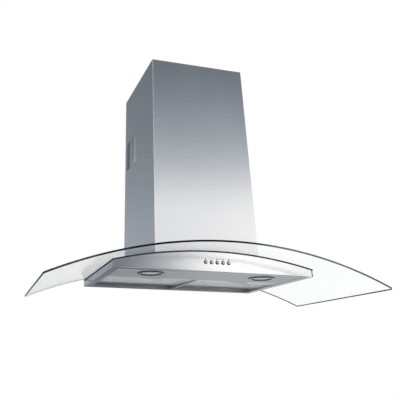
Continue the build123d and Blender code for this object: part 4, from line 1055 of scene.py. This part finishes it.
@dataclass(frozen=True)
class FloorCoat(Finish):
    """The plain pale floor that the hood hangs over."""

    colour: Colour = (0.86, 0.86, 0.87)

    def surface(self, bench: Bench) -> bpy.types.Node:
        """Lay out an even matt coat.

        Args:
            bench: the bench of the material's tree.

        Returns:
            The shader node.
        """
        grit = FineGrit.place(bench, Scale=200.0).outputs
        toned = bench.blend(grit["Patches"], self.colour, tint(self.colour, 0.985))
        return bench.put("ShaderNodeBsdfPrincipled", {"Base Color": toned, "Roughness": 0.8})


@dataclass(frozen=True)
class WallShadeCoat(Finish):
    """The wall inside the chimney, painted near black as painted shade, seen from the room's side
    alone.
    """

    # Painted shade: the wall is painted near black.
    colour: Colour = (0.02, 0.02, 0.022)

    def surface(self, bench: Bench) -> bpy.types.Node:
        """Lay out a matt coat that is clear from behind.

        Args:
            bench: the bench of the material's tree.

        Returns:
            The shader node.
        """
        grit = FineGrit.place(bench, Scale=200.0).outputs
        toned = bench.blend(grit["Patches"], self.colour, tint(self.colour, 1.2))
        behind = bench.put("ShaderNodeNewGeometry").outputs["Backfacing"]
        shown = bench.maths("SUBTRACT", 1.0, behind)
        return bench.put(
            "ShaderNodeBsdfPrincipled", {"Base Color": toned, "Roughness": 0.9, "Alpha": shown}
        )


CHIMNEY_STEEL = BrushedSteel(
    "chimney_steel",
    (0.86, 0.865, 0.88),
    roughness=0.26,
    anisotropy=0.85,
    smear_turn=0.0,
    # Painted shade: the inner face behind these bounds is painted near black.
    inside=(0.1495, -0.3195),
)
INNER_STEEL = BrushedSteel(
    "inner_cover_steel",
    (0.80, 0.80, 0.81),
    roughness=0.28,
    anisotropy=0.8,
    # Painted shade: the inner face behind these bounds is painted near black.
    smear_turn=0.0,
    inside=(0.1475, -0.3175),
)
PANEL_STEEL = BrushedSteel(
    "panel_steel",
    (0.88, 0.88, 0.885),
    roughness=0.17,
    anisotropy=0.2,
    # Painted shade on the panel's faces that look down.
    under=((0.36, 0.37, 0.38), (0.42, 0.42, 0.43)),
    # Painted dark reflection on the panel's right end.
    ends=0.2722,
)
BODY_STEEL = BrushedSteel(
    "body_steel",
    (0.57, 0.61, 0.635),
    roughness=0.22,
    anisotropy=0.3,
    # Painted shade on the body's faces that look down.
    under=((0.37, 0.42, 0.46), (0.55, 0.55, 0.57)),
    wall_shade=0.95,
)
UNDER_STEEL = BrushedSteel(
    "underside_steel",
    (0.57, 0.57, 0.58),
    Grain.DEEP,
    roughness=0.42,
    anisotropy=0.2,
    front_shade=0.85,
)
BEAM_STEEL = BrushedSteel(
    "beam_steel",
    # Painted shade: darker than the other underside steel, for the dark divider between the
    # filters.
    (0.40, 0.40, 0.41),
    Grain.DEEP,
    roughness=0.42,
    anisotropy=0.2,
    wall_shade=0.6,
    wall_reach=0.1,
)
ZINC = ZincSheet("zinc_sheet")
GLASS = ClearGlass("canopy_glass")
EDGE = GroundEdge("ground_edge")
RUBBER = Rubber("seal_rubber")
BLACK_PLASTIC = MouldedPlastic("black_plastic")
WHITE_PLASTIC = MouldedPlastic("white_plastic", (0.72, 0.72, 0.70), 0.38)
BRIGHT = PolishedMetal("plated_steel", (0.74, 0.74, 0.73), 0.20)
MOTOR_PAINT = CastMetal("motor_paint", (0.085, 0.09, 0.10), 0.5, metallic=0.0, grit=700.0)
CAST = CastMetal("cast_aluminium", (0.56, 0.57, 0.58), 0.48)
FILTER_ALU = CastMetal(
    "filter_aluminium", (0.92, 0.92, 0.93), 0.34, grit=1600.0, wall_shade=True
)
FILTER_WEAVE = CastMetal(
    "filter_weave", (0.95, 0.95, 0.96), 0.38, metallic=0.45, grit=1600.0, wall_shade=True
)
FILTER_FOIL = CastMetal(
    "filter_foil", (0.92, 0.92, 0.93), 0.40, metallic=0.45, grit=1600.0, wall_shade=True
)
BUTTON_SILVER = ButtonCap("button_silver")
MARK_INK = MouldedPlastic("mark_ink", (0.035, 0.036, 0.04), 0.55)


# ---------------------------------------------------------------- meshes
def smooth_mesh(mesh: bpy.types.Mesh, angle: float = 30.0) -> None:
    """Shade a mesh smooth, except across edges sharper than the angle in degrees."""
    mesh.polygons.foreach_set("use_smooth", [True] * len(mesh.polygons))
    mesh.set_sharp_from_angle(angle=radians(angle))


def new_piece(
    name: str,
    bm: bmesh.types.BMesh,
    finishes: Sequence[Finish],
    body: str,
    angle: float = 30.0,
) -> bpy.types.Object:
    """Turn a bmesh into a dressed piece that rides on a body.

    Args:
        name: the piece's name.
        bm: the finished bmesh, which is freed.
        finishes: the finishes of its material slots, in order.
        body: the body it rides on.
        angle: edges sharper than this, in degrees, stay sharp.

    Returns:
        The new object.
    """
    mesh = bpy.data.meshes.new(name)
    bm.to_mesh(mesh)
    bm.free()
    for finish in finishes:
        mesh.materials.append(finish.material())
    smooth_mesh(mesh, angle)
    piece = bpy.data.objects.new(name, mesh)
    bpy.context.scene.collection.objects.link(piece)
    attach(piece, body)
    LOG.info("piece %s: %d faces on %s", name, len(mesh.polygons), body)
    return piece


def dress(node: str, finish: Finish) -> None:
    """Give a carried-over CAD node its finish.

    Args:
        node: the node's name.
        finish: the finish it gets.
    """
    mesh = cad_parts[node].data
    mesh.materials.clear()
    mesh.materials.append(finish.material())
    LOG.info("node %s: %s", node, finish.name)


def arc_points(
    centre: Span, radius: float, start: float, end: float, steps: int
) -> list[Span]:
    """Points along an arc in a plane.

    Args:
        centre: the arc's centre.
        radius: its radius.
        start: its first angle, in radians.
        end: its last angle.
        steps: how many runs it has.

    Returns:
        The points, both ends among them.
    """
    turns = [start + (end - start) * i / steps for i in range(steps + 1)]
    return [(centre[0] + radius * cos(t), centre[1] + radius * sin(t)) for t in turns]


def circle_points(centre: Span, radius: float, count: int) -> list[Span]:
    """Return evenly spaced points round a circle in a plane, without the first one repeated."""
    return arc_points(centre, radius, 0, 2 * pi * (count - 1) / count, count - 1)


def join_rings(
    bm: bmesh.types.BMesh, first: Sequence[Any], second: Sequence[Any]
) -> list[bmesh.types.BMFace]:
    """Close the gap between two rings of as many points with faces.

    Args:
        bm: the bmesh that holds the rings.
        first: the points of one ring, in order.
        second: the points of the other ring, in the same order.

    Returns:
        The new faces.
    """
    faces = []
    for i in range(len(first)):
        j = (i + 1) % len(first)
        faces.append(bm.faces.new([first[i], first[j], second[j], second[i]]))
    return faces


@dataclass
class SubAssembly:
    """Pieces of the hood that belong together."""

    LOOKS: ClassVar[tuple[tuple[Finish, tuple[str, ...]], ...]] = ()

    def dress(self) -> None:
        """Give each CAD node of the sub-assembly its finish."""
        for finish, nodes in self.LOOKS:
            for node in nodes:
                dress(node, finish)


# ---------------------------------------------------------------- glass canopy
@dataclass
class GlassCanopy(SubAssembly):
    """The arched sheet of glass with its ground edges, and what seals and holds it."""

    LOOKS = (
        (RUBBER, ("glass_seal", "glass_pads")),
        (BRIGHT, ("glass_screws", "glass_nuts")),
    )
    width: float = 0.900
    depth: float = 0.480
    bow: float = 0.020
    thick: float = 0.006
    radius: float = 1.175
    centre_z: float = -1.286
    corner: float = 0.005
    # How far back the front corners' arcs stand, and how much of the bow's ends they take, as
    # shares of their radius.
    corner_seat: float = 0.93
    corner_trim: float = 1.4
    corner_steps: int = 5
    bow_steps: int = 72
    notch_half: float = 0.121
    notch_depth: float = 0.278
    notch_corner: float = 0.008
    notch_steps: int = 6
    ground: float = 0.0007
    cut_step: float = 0.012
    lip_half: float = 0.275
    lip_front: float = 0.375
    lip_rear: float = 0.002
    lip_steps: int = 48
    lip_off: float = 0.00002
    # The lip's section: how far it stands out of the body, above the body's top and below it.
    lip_section: tuple[Point, ...] = (
        (0.0, -0.0001, 0.0),
        (0.0009, -0.0001, 0.0),
        (0.0012, -0.0004, 0.0),
        (0.0012, 0.0, 0.0034),
        (0.0008, 0.0, 0.0038),
        (0.0, 0.0, 0.0038),
    )

    def outline(self) -> list[Span]:
        """Draw the plan of the sheet.

        Returns:
            Its points, anticlockwise from the rear left corner.
        """
        half, side = self.width / 2, self.depth - self.bow
        bow_r = (half * half + self.bow * self.bow) / (2 * self.bow)
        bow_centre = (0.0, -self.depth + bow_r)
        reach = asin(half / bow_r)
        corner_turn = pi / 2 - reach
        corner_x, corner_y = half - self.corner, -side + self.corner * self.corner_seat
        bow_turn = reach - self.corner / half * reach * self.corner_trim
        left, right, steps = (-corner_x, corner_y), (corner_x, corner_y), self.corner_steps
        ahead = 1.5 * pi
        points = [(-half, 0.0)]
        points += arc_points(left, self.corner, pi, pi + corner_turn, steps)
        points += arc_points(
            bow_centre, bow_r, ahead - bow_turn, ahead + bow_turn, self.bow_steps
        )
        points += arc_points(right, self.corner, 2 * pi - corner_turn, 2 * pi, steps)
        points.append((half, 0.0))
        points.append((self.notch_half, 0.0))
        inner = self.notch_half - self.notch_corner
        rear = -self.notch_depth + self.notch_corner
        points += arc_points((inner, rear), self.notch_corner, 0.0, -pi / 2, self.notch_steps)
        points += arc_points((-inner, rear), self.notch_corner, -pi / 2, -pi, self.notch_steps)
        points.append((-self.notch_half, 0.0))
        return points

    def place(self, x: float, y: float, level: float) -> Vector:
        """Carry a point of the plan onto the arch.

        Args:
            x: how far right of the middle, on the upper face.
            y: how far from the wall, negative towards the room.
            level: the radius it lies on.

        Returns:
            The point in the frame.
        """
        angle = asin(max(-1.0, min(1.0, x / self.radius)))
        return Vector((level * sin(angle), y, self.centre_z + level * cos(angle)))

    def build(self) -> bpy.types.Object:
        """Cut the sheet, bend it over the arch and grind its edges.

        Returns:
            The glass sheet.
        """
        plan = bmesh.new()
        face = plan.faces.new([plan.verts.new((x, y, 0.0)) for x, y in self.outline()])
        ring = bmesh.ops.inset_region(
            plan, faces=[face], thickness=self.ground, use_even_offset=True
        )
        for ground_face in ring["faces"]:
            ground_face.material_index = 1
        for vert in plan.verts:
            vert.co.z = self.ground if vert.is_boundary else 0.0
        cuts = int(self.width / self.cut_step)
        for i in range(1, cuts):
            x = -self.width / 2 + self.width * i / cuts
            everything = plan.verts[:] + plan.edges[:] + plan.faces[:]
            bmesh.ops.bisect_plane(
                plan, geom=everything, plane_co=(x, 0, 0), plane_no=(1, 0, 0), dist=1e-7
            )
        sheet = bmesh.new()
        upper, under = {}, {}
        for vert in plan.verts:
            x, y, sunk = vert.co
            upper[vert] = sheet.verts.new(self.place(x, y, self.radius - sunk))
            under[vert] = sheet.verts.new(self.place(x, y, self.radius - self.thick + sunk))
        for face in plan.faces:
            top = sheet.faces.new([upper[vert] for vert in face.verts])
            bottom = sheet.faces.new([under[vert] for vert in reversed(face.verts)])
            top.material_index = bottom.material_index = face.material_index
        for edge in plan.edges:
            if edge.is_boundary:
                first, second = edge.verts
                wall = sheet.faces.new([upper[first], upper[second], under[second], under[first]])
                wall.material_index = 1
        plan.free()
        bmesh.ops.recalc_face_normals(sheet, faces=sheet.faces[:])
        piece = new_piece("glass_sheet", sheet, (GLASS, EDGE), "hood", angle=25.0)
        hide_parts("glass_canopy")
        return piece

    def build_lip(self) -> None:
        """Run the seal's rounded outer lip along the top of the body, under the sheet."""
        half, front = self.lip_half + self.lip_off, -self.lip_front - self.lip_off
        steps, rear, tiny = self.lip_steps, -self.lip_rear, 1e-9
        path = [(-half, rear), (-half, front)]
        path += [(-half + 2 * half * i / steps, front) for i in range(1, steps)]
        path += [(half, front), (half, rear)]
        bm = bmesh.new()
        rings = []
        for x, y in path:
            side_x = (-1 if x < 0 else 1) if abs(x) > half - tiny else 0
            side_y = -1 if y < front + tiny else 0
            ring = []
            for out, top, down in self.lip_section:
                px, py = x + out * side_x, y + out * side_y
                radius = (self.radius - self.thick) + top - down
                ring.append(bm.verts.new((px, py, self.centre_z + sqrt(radius * radius - px * px))))
            rings.append(ring)
        for first, second in zip(rings, rings[1:]):
            join_rings(bm, first, second)
        bm.faces.new(rings[0])
        bm.faces.new(rings[-1][::-1])
        bmesh.ops.recalc_face_normals(bm, faces=bm.faces[:])
        new_piece("seal_lip", bm, (RUBBER,), "hood", angle=50.0)


# ---------------------------------------------------------------- body
@dataclass
class Body(SubAssembly):
    """The steel body under the glass, brushed across outside and from front to back below."""

    LOOKS = (
        (PANEL_STEEL, ("front_panel",)),
        (BODY_STEEL, ("canopy_frame", "canopy_top")),
        (UNDER_STEEL, ("lamp_panel",)),
        (BEAM_STEEL, ("centre_beam",)),
    )


# ---------------------------------------------------------------- chimney
@dataclass
class Chimney(SubAssembly):
    """The two telescopic covers, brushed across, their supports and the wall bracket."""

    LOOKS = (
        (CHIMNEY_STEEL, ("chimney_cover",)),
        (INNER_STEEL, ("inner_cover",)),
        (ZINC, ("cover_supports", "wall_bracket")),
        (BRIGHT, ("bracket_rivets",)),
    )


# ---------------------------------------------------------------- motor box
@dataclass
class MotorBox(SubAssembly):
    """The box, the fan, the outlet and the electrics inside the chimney."""

    LOOKS = (
        (ZINC, ("motor_box", "scroll_casing", "motor_bracket")),
        (BLACK_PLASTIC, ("outlet_collar", "flap_front", "flap_rear", "impeller")),
        (BLACK_PLASTIC, ("control_box", "cable_gland")),
        (BRIGHT, ("box_screws", "collar_screws", "flap_pin", "motor_shaft")),
        (MOTOR_PAINT, ("fan_motor",)),
        (WHITE_PLASTIC, ("capacitor",)),
    )


# ---------------------------------------------------------------- controls
@dataclass
class Controls(SubAssembly):
    """Five push buttons and the small marks above them."""

    BUTTONS: ClassVar[tuple[str, ...]] = (
        "button_off",
        "button_low",
        "button_middle",
        "button_high",
        "button_light",
    )
    LOOKS = ((BUTTON_SILVER, BUTTONS), (BLACK_PLASTIC, ("button_guide", "switch_block")))

    pitch: float = 0.016
    mark_z: float = -0.1388
    face_y: float = -0.375
    sunk: float = 0.00001
    ink: float = 0.00008
    stroke: float = 0.0009
    stroke_pitch: float = 0.0013
    size: float = 0.0020
    # Parts of the marks, as shares of their size.
    ring: float = 0.85
    tall: float = 0.8
    sun: float = 0.5
    ray: Span = (0.8, 1.15)
    rays: int = 6

    def ribbon(self, bm: bmesh.types.BMesh, points: Sequence[Span], closed: bool) -> None:
        """Lay one inked line on the panel.

        Args:
            bm: the bmesh that takes it.
            points: its middle line, in x and z.
            closed: whether it closes on itself.
        """
        count = len(points)
        rails = []
        for i, (x, z) in enumerate(points):
            before = points[i - 1] if closed or i > 0 else points[i]
            after = points[(i + 1) % count] if closed or i < count - 1 else points[i]
            along = Vector((after[0] - before[0], after[1] - before[1])).normalized()
            side = Vector((-along.y, along.x)) * self.stroke / 2
            ring = []
            for way, y in (
                (1, self.face_y + self.sunk),
                (1, self.face_y - self.ink),
                (-1, self.face_y - self.ink),
                (-1, self.face_y + self.sunk),
            ):
                ring.append(bm.verts.new((x + way * side.x, y, z + way * side.y)))
            rails.append(ring)
        for first, second in zip(rails, rails[1:]):
            join_rings(bm, first, second)
        if closed:
            join_rings(bm, rails[-1], rails[0])
        else:
            bm.faces.new(rails[0])
            bm.faces.new(rails[-1])

    def mark_lines(self, number: int, x: float) -> list[tuple[list[Span], bool]]:
        """The lines of one button's mark.

        Args:
            number: the button's place from the left.
            x: the middle of the mark.

        Returns:
            Each line's points and whether it closes.
        """
        z, s = self.mark_z, self.size
        if number == 0:
            return [(circle_points((x, z), s * self.ring, 16), True)]
        if number < len(self.BUTTONS) - 1:
            tall = s * self.tall
            starts = [x + (i - (number - 1) / 2) * self.stroke_pitch for i in range(number)]
            return [([(a, z - tall), (a, z + tall)], False) for a in starts]
        lines = [(circle_points((x, z), s * self.sun, 12), True)]
        for i in range(self.rays):
            turn = pi / self.rays + i * 2 * pi / self.rays
            ends = [(x + s * r * cos(turn), z + s * r * sin(turn)) for r in self.ray]
            lines.append((ends, False))
        return lines

    def build(self) -> None:
        """Lay the five marks above the buttons."""
        for number, button in enumerate(self.BUTTONS):
            bm = bmesh.new()
            x = (number - len(self.BUTTONS) // 2) * self.pitch
            for points, closed in self.mark_lines(number, x):
                self.ribbon(bm, points, closed)
            bmesh.ops.recalc_face_normals(bm, faces=bm.faces[:])
            name = button.replace("button", "mark")
            new_piece(name, bm, (MARK_INK,), "hood", angle=40.0)


# ---------------------------------------------------------------- lamps
@dataclass
class Lamps(SubAssembly):
    """The two round lamps in the strip behind the front panel."""

    LOOKS = (
        (CAST, ("lamp_can_left", "lamp_can_right")),
        (WHITE_PLASTIC, ("lamp_board_left", "lamp_board_right")),
    )

    x: float = 0.158
    y: float = -0.308

    def dress(self) -> None:
        """Finish the cans and boards, and the rings and lenses round their own centres."""
        super().dress()
        for name, x in (("left", -self.x), ("right", self.x)):
            for kind, finish in (("lamp_ring", LampRing), ("lamp_lens", FrostedLens)):
                node = f"{kind}_{name}"
                dress(node, finish(node, centre_x=x, centre_y=self.y))


# ---------------------------------------------------------------- filters
@dataclass
class Filters(SubAssembly):
    """Two lift-out grease filters with layered expanded mesh."""

    LOOKS = (
        (FILTER_ALU, ("filter_frame_left", "filter_frame_right")),
        (FILTER_ALU, ("filter_latch_left", "filter_latch_right")),
    )

    diamond: float = 0.0080
    diamond_short: float = 0.0042
    swing: float = 0.86
    strand: float = 0.0009
    strand_thick: float = 0.0005
    layers: tuple[float, ...] = (-0.0011, 0.0, 0.0011)
    foil_lift: float = 0.0006
    foil_half: float = 0.00005
    edge_slice: float = 0.0005

    def foil(
        self, bm: bmesh.types.BMesh, corner: Vector, right: Vector, along: Vector, out: Vector
    ) -> None:
        """Lay the thin sheet between the layers of mesh, which turns the grease back.

        Args:
            bm: the bmesh that takes it.
            corner: the sheet's front left corner.
            right: its width.
            along: its length.
            out: the direction of its thickness, with half the thickness as length.
        """
        plan = [corner, corner + right, corner + right + along, corner + along]
        under, upper = ([bm.verts.new(point + way * out) for point in plan] for way in (-1, 1))
        sheet = [bm.faces.new(under[::-1]), bm.faces.new(upper), *join_rings(bm, under, upper)]
        for face in sheet:
            face.material_index = 1

    def strand_run(
        self, bm: bmesh.types.BMesh, points: Sequence[Vector], across: Vector, out: Vector
    ) -> None:
        """Lay one zigzag strand of the mesh.

        Args:
            bm: the bmesh that takes it.
            points: its middle line.
            across: the direction of its width, with half the width as length.
            out: the direction of its thickness, with half the thickness as length.
        """
        section = (across + out, across - out, -across - out, out - across)
        rings = [[bm.verts.new(point + corner) for corner in section] for point in points]
        for first, second in zip(rings, rings[1:]):
            join_rings(bm, second, first)

    def window(self, node: str) -> tuple[Vector, Vector, float]:
        """Find the slanting window that a filter's mesh fills.

        Args:
            node: the CAD mesh that lies in it.

        Returns:
            The middle of the thickness at its front left and rear left, and its width.
        """
        low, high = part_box(node)
        places = [vert.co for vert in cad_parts[node].data.vertices]
        front = [place.z for place in places if place.y < low.y + self.edge_slice]
        rear = [place.z for place in places if place.y > high.y - self.edge_slice]
        start = Vector((low.x, low.y, (min(front) + max(front)) / 2))
        end = Vector((low.x, high.y, (min(rear) + max(rear)) / 2))
        return start, end, high.x - low.x

    def lattice(self, node: str) -> bmesh.types.BMesh:
        """Fill a filter's window with layers of expanded mesh.

        Args:
            node: the CAD mesh that the lattice takes the place of.

        Returns:
            The bmesh of all the layers.
        """
        start, end, width = self.window(node)
        length = (end - start).length
        right, along = Vector((1, 0, 0)), (end - start).normalized()
        up = Vector((0, -along.z, along.y))
        bm = bmesh.new()
        middle = len(self.layers) // 2
        for number, lift in enumerate(self.layers):
            runs, rows = (right, width), (along, length)
            if number == middle:
                runs, rows = rows, runs
            self.layer(bm, start + lift * up, runs, rows, up)
        self.foil(
            bm, start + self.foil_lift * up, width * right, length * along, up * self.foil_half
        )
        return bm

    def layer(
        self,
        bm: bmesh.types.BMesh,
        origin: Vector,
        runs: tuple[Vector, float],
        rows: tuple[Vector, float],
        up: Vector,
    ) -> None:
        """Lay one layer of mesh, as rows of zigzag strands.

        Args:
            bm: the bmesh that takes it.
            origin: the layer's front left corner.
            runs: the direction that the strands run in, and how far they go.
            rows: the direction that they follow each other in, and how far.
            up: the direction of their thickness.
        """
        (run_dir, run_length), (row_dir, row_length) = runs, rows
        count = int(row_length / self.diamond_short)
        cells = int(run_length / (self.diamond / 2))
        swing = self.diamond_short / 2 * self.swing
        across, out = row_dir * self.strand / 2, up * self.strand_thick / 2
        for row in range(count):
            level = (row + 0.5) * row_length / count
            points = []
            for i in range(cells + 1):
                phase = 1 if (i + row) % 2 else -1
                step = run_dir * (run_length * i / cells)
                points.append(origin + step + row_dir * (level + phase * swing))
            self.strand_run(bm, points, across, out)

    def build(self) -> None:
        """Weave the mesh of both filters."""
        for name in ("left", "right"):
            node = f"filter_mesh_{name}"
            piece = new_piece(
                f"filter_weave_{name}",
                self.lattice(node),
                (FILTER_WEAVE, FILTER_FOIL),
                f"{name}_filter",
                angle=35.0,
            )
            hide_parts(node)


# ---------------------------------------------------------------- room
@dataclass
class Viewpoint:
    """The camera, where the photograph was taken from."""

    location: Point = (-0.5773, -1.6547, -0.3831)
    yaw: float = 15.55
    pitch: float = 26.88
    roll: float = -0.29
    sensor: float = 36.0
    lens: float = 47.16
    shift_x: float = 0.1625
    shift_y: float = -0.25
    clip: Span = (0.02, 60.0)

    def build(self) -> bpy.types.Object:
        """Place the camera.

        Returns:
            The camera object.
        """
        data = bpy.data.cameras.new("viewpoint")
        data.sensor_width, data.lens = self.sensor, self.lens
        data.shift_x, data.shift_y = self.shift_x, self.shift_y
        data.clip_start, data.clip_end = self.clip
        camera = bpy.data.objects.new("viewpoint", data)
        turn = (
            Matrix.Rotation(radians(-self.yaw), 3, "Z")
            @ Matrix.Rotation(radians(self.pitch), 3, "X")
            @ Matrix.Rotation(radians(self.roll), 3, "Y")
            @ Matrix.Rotation(radians(90), 3, "X")
        )
        camera.matrix_world = Matrix.Translation(self.location) @ turn.to_4x4()
        bpy.context.scene.collection.objects.link(camera)
        bpy.context.scene.camera = camera
        return camera


@dataclass
class SoftLamp:
    """One square soft light that looks at a point."""

    name: str
    place: Point
    aim: Point
    size: float
    power: float

    def build(self) -> bpy.types.Object:
        """Hang the lamp.

        Returns:
            The lamp object.
        """
        data = bpy.data.lights.new(self.name, "AREA")
        data.shape, data.size, data.energy = "SQUARE", self.size, self.power
        lamp = bpy.data.objects.new(self.name, data)
        lamp.location = self.place
        look = Vector(self.aim) - Vector(self.place)
        lamp.rotation_euler = look.to_track_quat("-Z", "Y").to_euler()
        bpy.context.scene.collection.objects.link(lamp)
        return lamp


@dataclass(frozen=True)
class Pane:
    """One part of the surroundings, as metal reflects it.

    Its share over the turn from straight out of the wall, and its brightness over the height
    above the horizon, are pairs of degrees and a number.
    """

    turns: Stops
    heights: Stops


FRONT_HIGH = Pane(
    ((-180, 0), (-50, 0), (-20, 1), (100, 1), (140, 0), (180, 0)),
    (
        (-90, 0), (12, 0), (16, 0.80), (18, 0.61), (20, 0.45), (24, 0.31), (27, 0.22), (31, 0.13),
        (50, 0.12), (90, 0.2),
    ),
)
FRONT_LOW = Pane(
    (
        (-180, 0), (-50, 0), (-20, 1.25), (7, 1.2), (10, 0.24), (12.5, 0.04), (15, 0.09),
        (18, 0.3), (20.2, 0.62), (22.3, 1.05), (27, 1.4), (30, 1.3), (33, 0.95), (37, 0.95),
        (42, 1.5), (80, 1.1), (100, 0.7), (140, 0), (180, 0),
    ),
    ((-90, 0), (-2, 0), (0, 1), (12, 1), (18, 0), (90, 0)),
)
FRONT_FLOOR = Pane(
    (
        (-180, 0), (-50, 0), (-20, 0.5), (8, 0.4), (11, 0.12), (20, 0.10), (24, 1.1),
        (80, 1.0), (100, 0.7), (140, 0), (180, 0),
    ),
    ((-90, 0.35), (-35, 0.5), (-20, 1), (-2, 1), (0, 0), (90, 0)),
)
LEFT = Pane(
    ((-180, 0.0), (-165, 1), (-50, 1), (-20, 0), (180, 0)),
    (
        (-90, 0.25), (-35, 0.3), (-14, 0.3), (0, 0.33), (7, 0.36), (12.5, 0.35), (16, 0.28),
        (20, 0.22), (24, 0.175), (31, 0.13), (50, 0.12), (90, 0.18),
    ),
)
BACK_LOW = Pane(
    (
        (-180, 0.6), (-165, 0), (100, 0), (140, 1), (157, 1), (162, 0.55), (166, 0.3),
        (169, 0.35), (172, 0.8), (175, 1), (180, 0.6),
    ),
    ((-90, 0.3), (-40, 0.4), (-25, 0.6), (-14, 0.56), (-8, 0.6), (-5, 0.7), (-4, 0), (90, 0)),
)
BACK_HORIZON = Pane(
    ((-180, 1), (-175, 0.8), (-165, 0), (100, 0), (140, 1), (180, 1)),
    (
        (-90, 0), (-5, 0), (-4, 1), (3, 1.05), (8, 0.85), (20, 0.5), (50, 0.3), (90, 0.25),
    ),
)


@dataclass
class Room:
    """White background, pale floor and soft light."""

    floor_z: float = -1.75
    floor_centre: Span = (0.0, -0.2)
    floor_radius: float = 3.0
    # The two strips of wall behind the air slots, painted near black as painted shade.
    wall_inner: float = 0.09
    wall_outer: float = 0.147
    wall_low: float = 0.36
    wall_high: float = 0.468
    wall_y: float = 0.002
    plain: float = 0.62
    lamps: tuple[SoftLamp, ...] = (
        SoftLamp("lamp_above", (0.5, -1.4, 3.0), (0.0, -0.2, 0.0), 2.0, 40.0),
        SoftLamp("lamp_left", (-2.8, -1.8, 1.6), (0.0, -0.2, 0.0), 2.2, 18.0),
    )
    panes: tuple[Pane, ...] = (
        FRONT_HIGH,
        FRONT_LOW,
        FRONT_FLOOR,
        LEFT,
        BACK_LOW,
        BACK_HORIZON,
    )
    # The power that each channel of the surroundings is raised to, which cools what is darker.
    cool: Colour = (1.10, 1.0, 0.91)

    def surroundings(self, bench: Bench) -> bpy.types.NodeSocket:
        """Work out the colour that metal reflects from a direction, cooler where it is darker.

        Args:
            bench: the bench of the world's tree.

        Returns:
            The colour's socket.
        """
        parts = bench.parts(bench.put("ShaderNodeTexCoord").outputs["Generated"])
        height = bench.maths("MULTIPLY_ADD", bench.maths("ARCSINE", parts["Z"]), 1 / pi, 0.5)
        turn = bench.maths("ARCTAN2", parts["X"], bench.maths("MULTIPLY", parts["Y"], -1.0))
        turn = bench.maths("MULTIPLY_ADD", turn, 0.5 / pi, 0.5)
        total: Any = 0.0
        for pane in self.panes:
            share = bench.levels(turn, [((a + 180) / 360, b) for a, b in pane.turns])
            level = bench.levels(height, [((a + 90) / 180, b) for a, b in pane.heights])
            total = bench.maths("MULTIPLY_ADD", share, level, total)
        channels = {i: bench.maths("POWER", total, power) for i, power in enumerate(self.cool)}
        return bench.put("ShaderNodeCombineColor", channels).outputs[0]

    def build_world(self) -> None:
        """Make the background: white to look at and through, graded for metal, plain for light."""
        world = bpy.data.worlds.new("room")
        bpy.context.scene.world = world
        world.use_nodes = True
        bench = Bench(world.node_tree)
        path = bench.put("ShaderNodeLightPath").outputs
        mirrored = bench.maths("MINIMUM", path["Glossy Depth"], 1.0)
        through = path["Is Transmission Ray"]
        direct = bench.maths("SUBTRACT", 1.0, mirrored)
        seen = bench.maths("MULTIPLY_ADD", through, direct, path["Is Camera Ray"], clamp=True)
        glossy = bench.maths("MULTIPLY_ADD", through, mirrored, path["Is Glossy Ray"], clamp=True)
        lit = bench.blend(glossy, (self.plain,) * 3, self.surroundings(bench))
        colour = bench.blend(seen, lit, (1.0, 1.0, 1.0))
        background = bench.put("ShaderNodeBackground", {"Color": colour, "Strength": 1.0})
        bench.put("ShaderNodeOutputWorld", {"Surface": background.outputs[0]})

    def put_stage(self, name: str, bm: bmesh.types.BMesh, finish: Finish) -> None:
        """Turn a bmesh into a piece of the room.

        Args:
            name: the piece's name.
            bm: the finished bmesh, which is freed.
            finish: its finish.
        """
        mesh = bpy.data.meshes.new(name)
        bm.to_mesh(mesh)
        bm.free()
        mesh.materials.append(finish.material())
        piece = bpy.data.objects.new(name, mesh)
        bpy.context.scene.collection.objects.link(piece)

    def build_floor(self) -> None:
        """Lay the floor."""
        bm = bmesh.new()
        rim = circle_points(self.floor_centre, self.floor_radius, 64)
        bm.faces.new([bm.verts.new((x, y, self.floor_z)) for x, y in rim])
        self.put_stage("floor", bm, FloorCoat("floor_coat"))

    def build_wall(self) -> None:
        """Put the wall behind the air slots, painted near black as painted shade; it shows through
        them and from no other side.
        """
        inner, outer, low, high = self.wall_inner, self.wall_outer, self.wall_low, self.wall_high
        bm = bmesh.new()
        for left, right in ((-outer, -inner), (inner, outer)):
            corners = ((left, low), (right, low), (right, high), (left, high))
            bm.faces.new([bm.verts.new((x, self.wall_y, z)) for x, z in corners])
        self.put_stage("wall", bm, WallShadeCoat("wall_shade_coat"))

    def build(self) -> None:
        """Build the whole room and set how it is shown."""
        bpy.context.scene.view_settings.view_transform = "Standard"
        self.build_world()
        self.build_floor()
        self.build_wall()
        for lamp in self.lamps:
            lamp.build()


def main() -> None:
    """Build the room, the viewpoint and every sub-assembly in order."""
    logging.basicConfig(level=logging.INFO, format="%(name)s: %(message)s", force=True)
    Viewpoint().build()
    Room().build()
    glass = GlassCanopy()
    glass.build()
    glass.build_lip()
    glass.dress()
    Body().dress()
    Chimney().dress()
    MotorBox().dress()
    controls = Controls()
    controls.build()
    controls.dress()
    Lamps().dress()
    filters = Filters()
    filters.build()
    filters.dress()


if __name__ == "__main__":
    main()
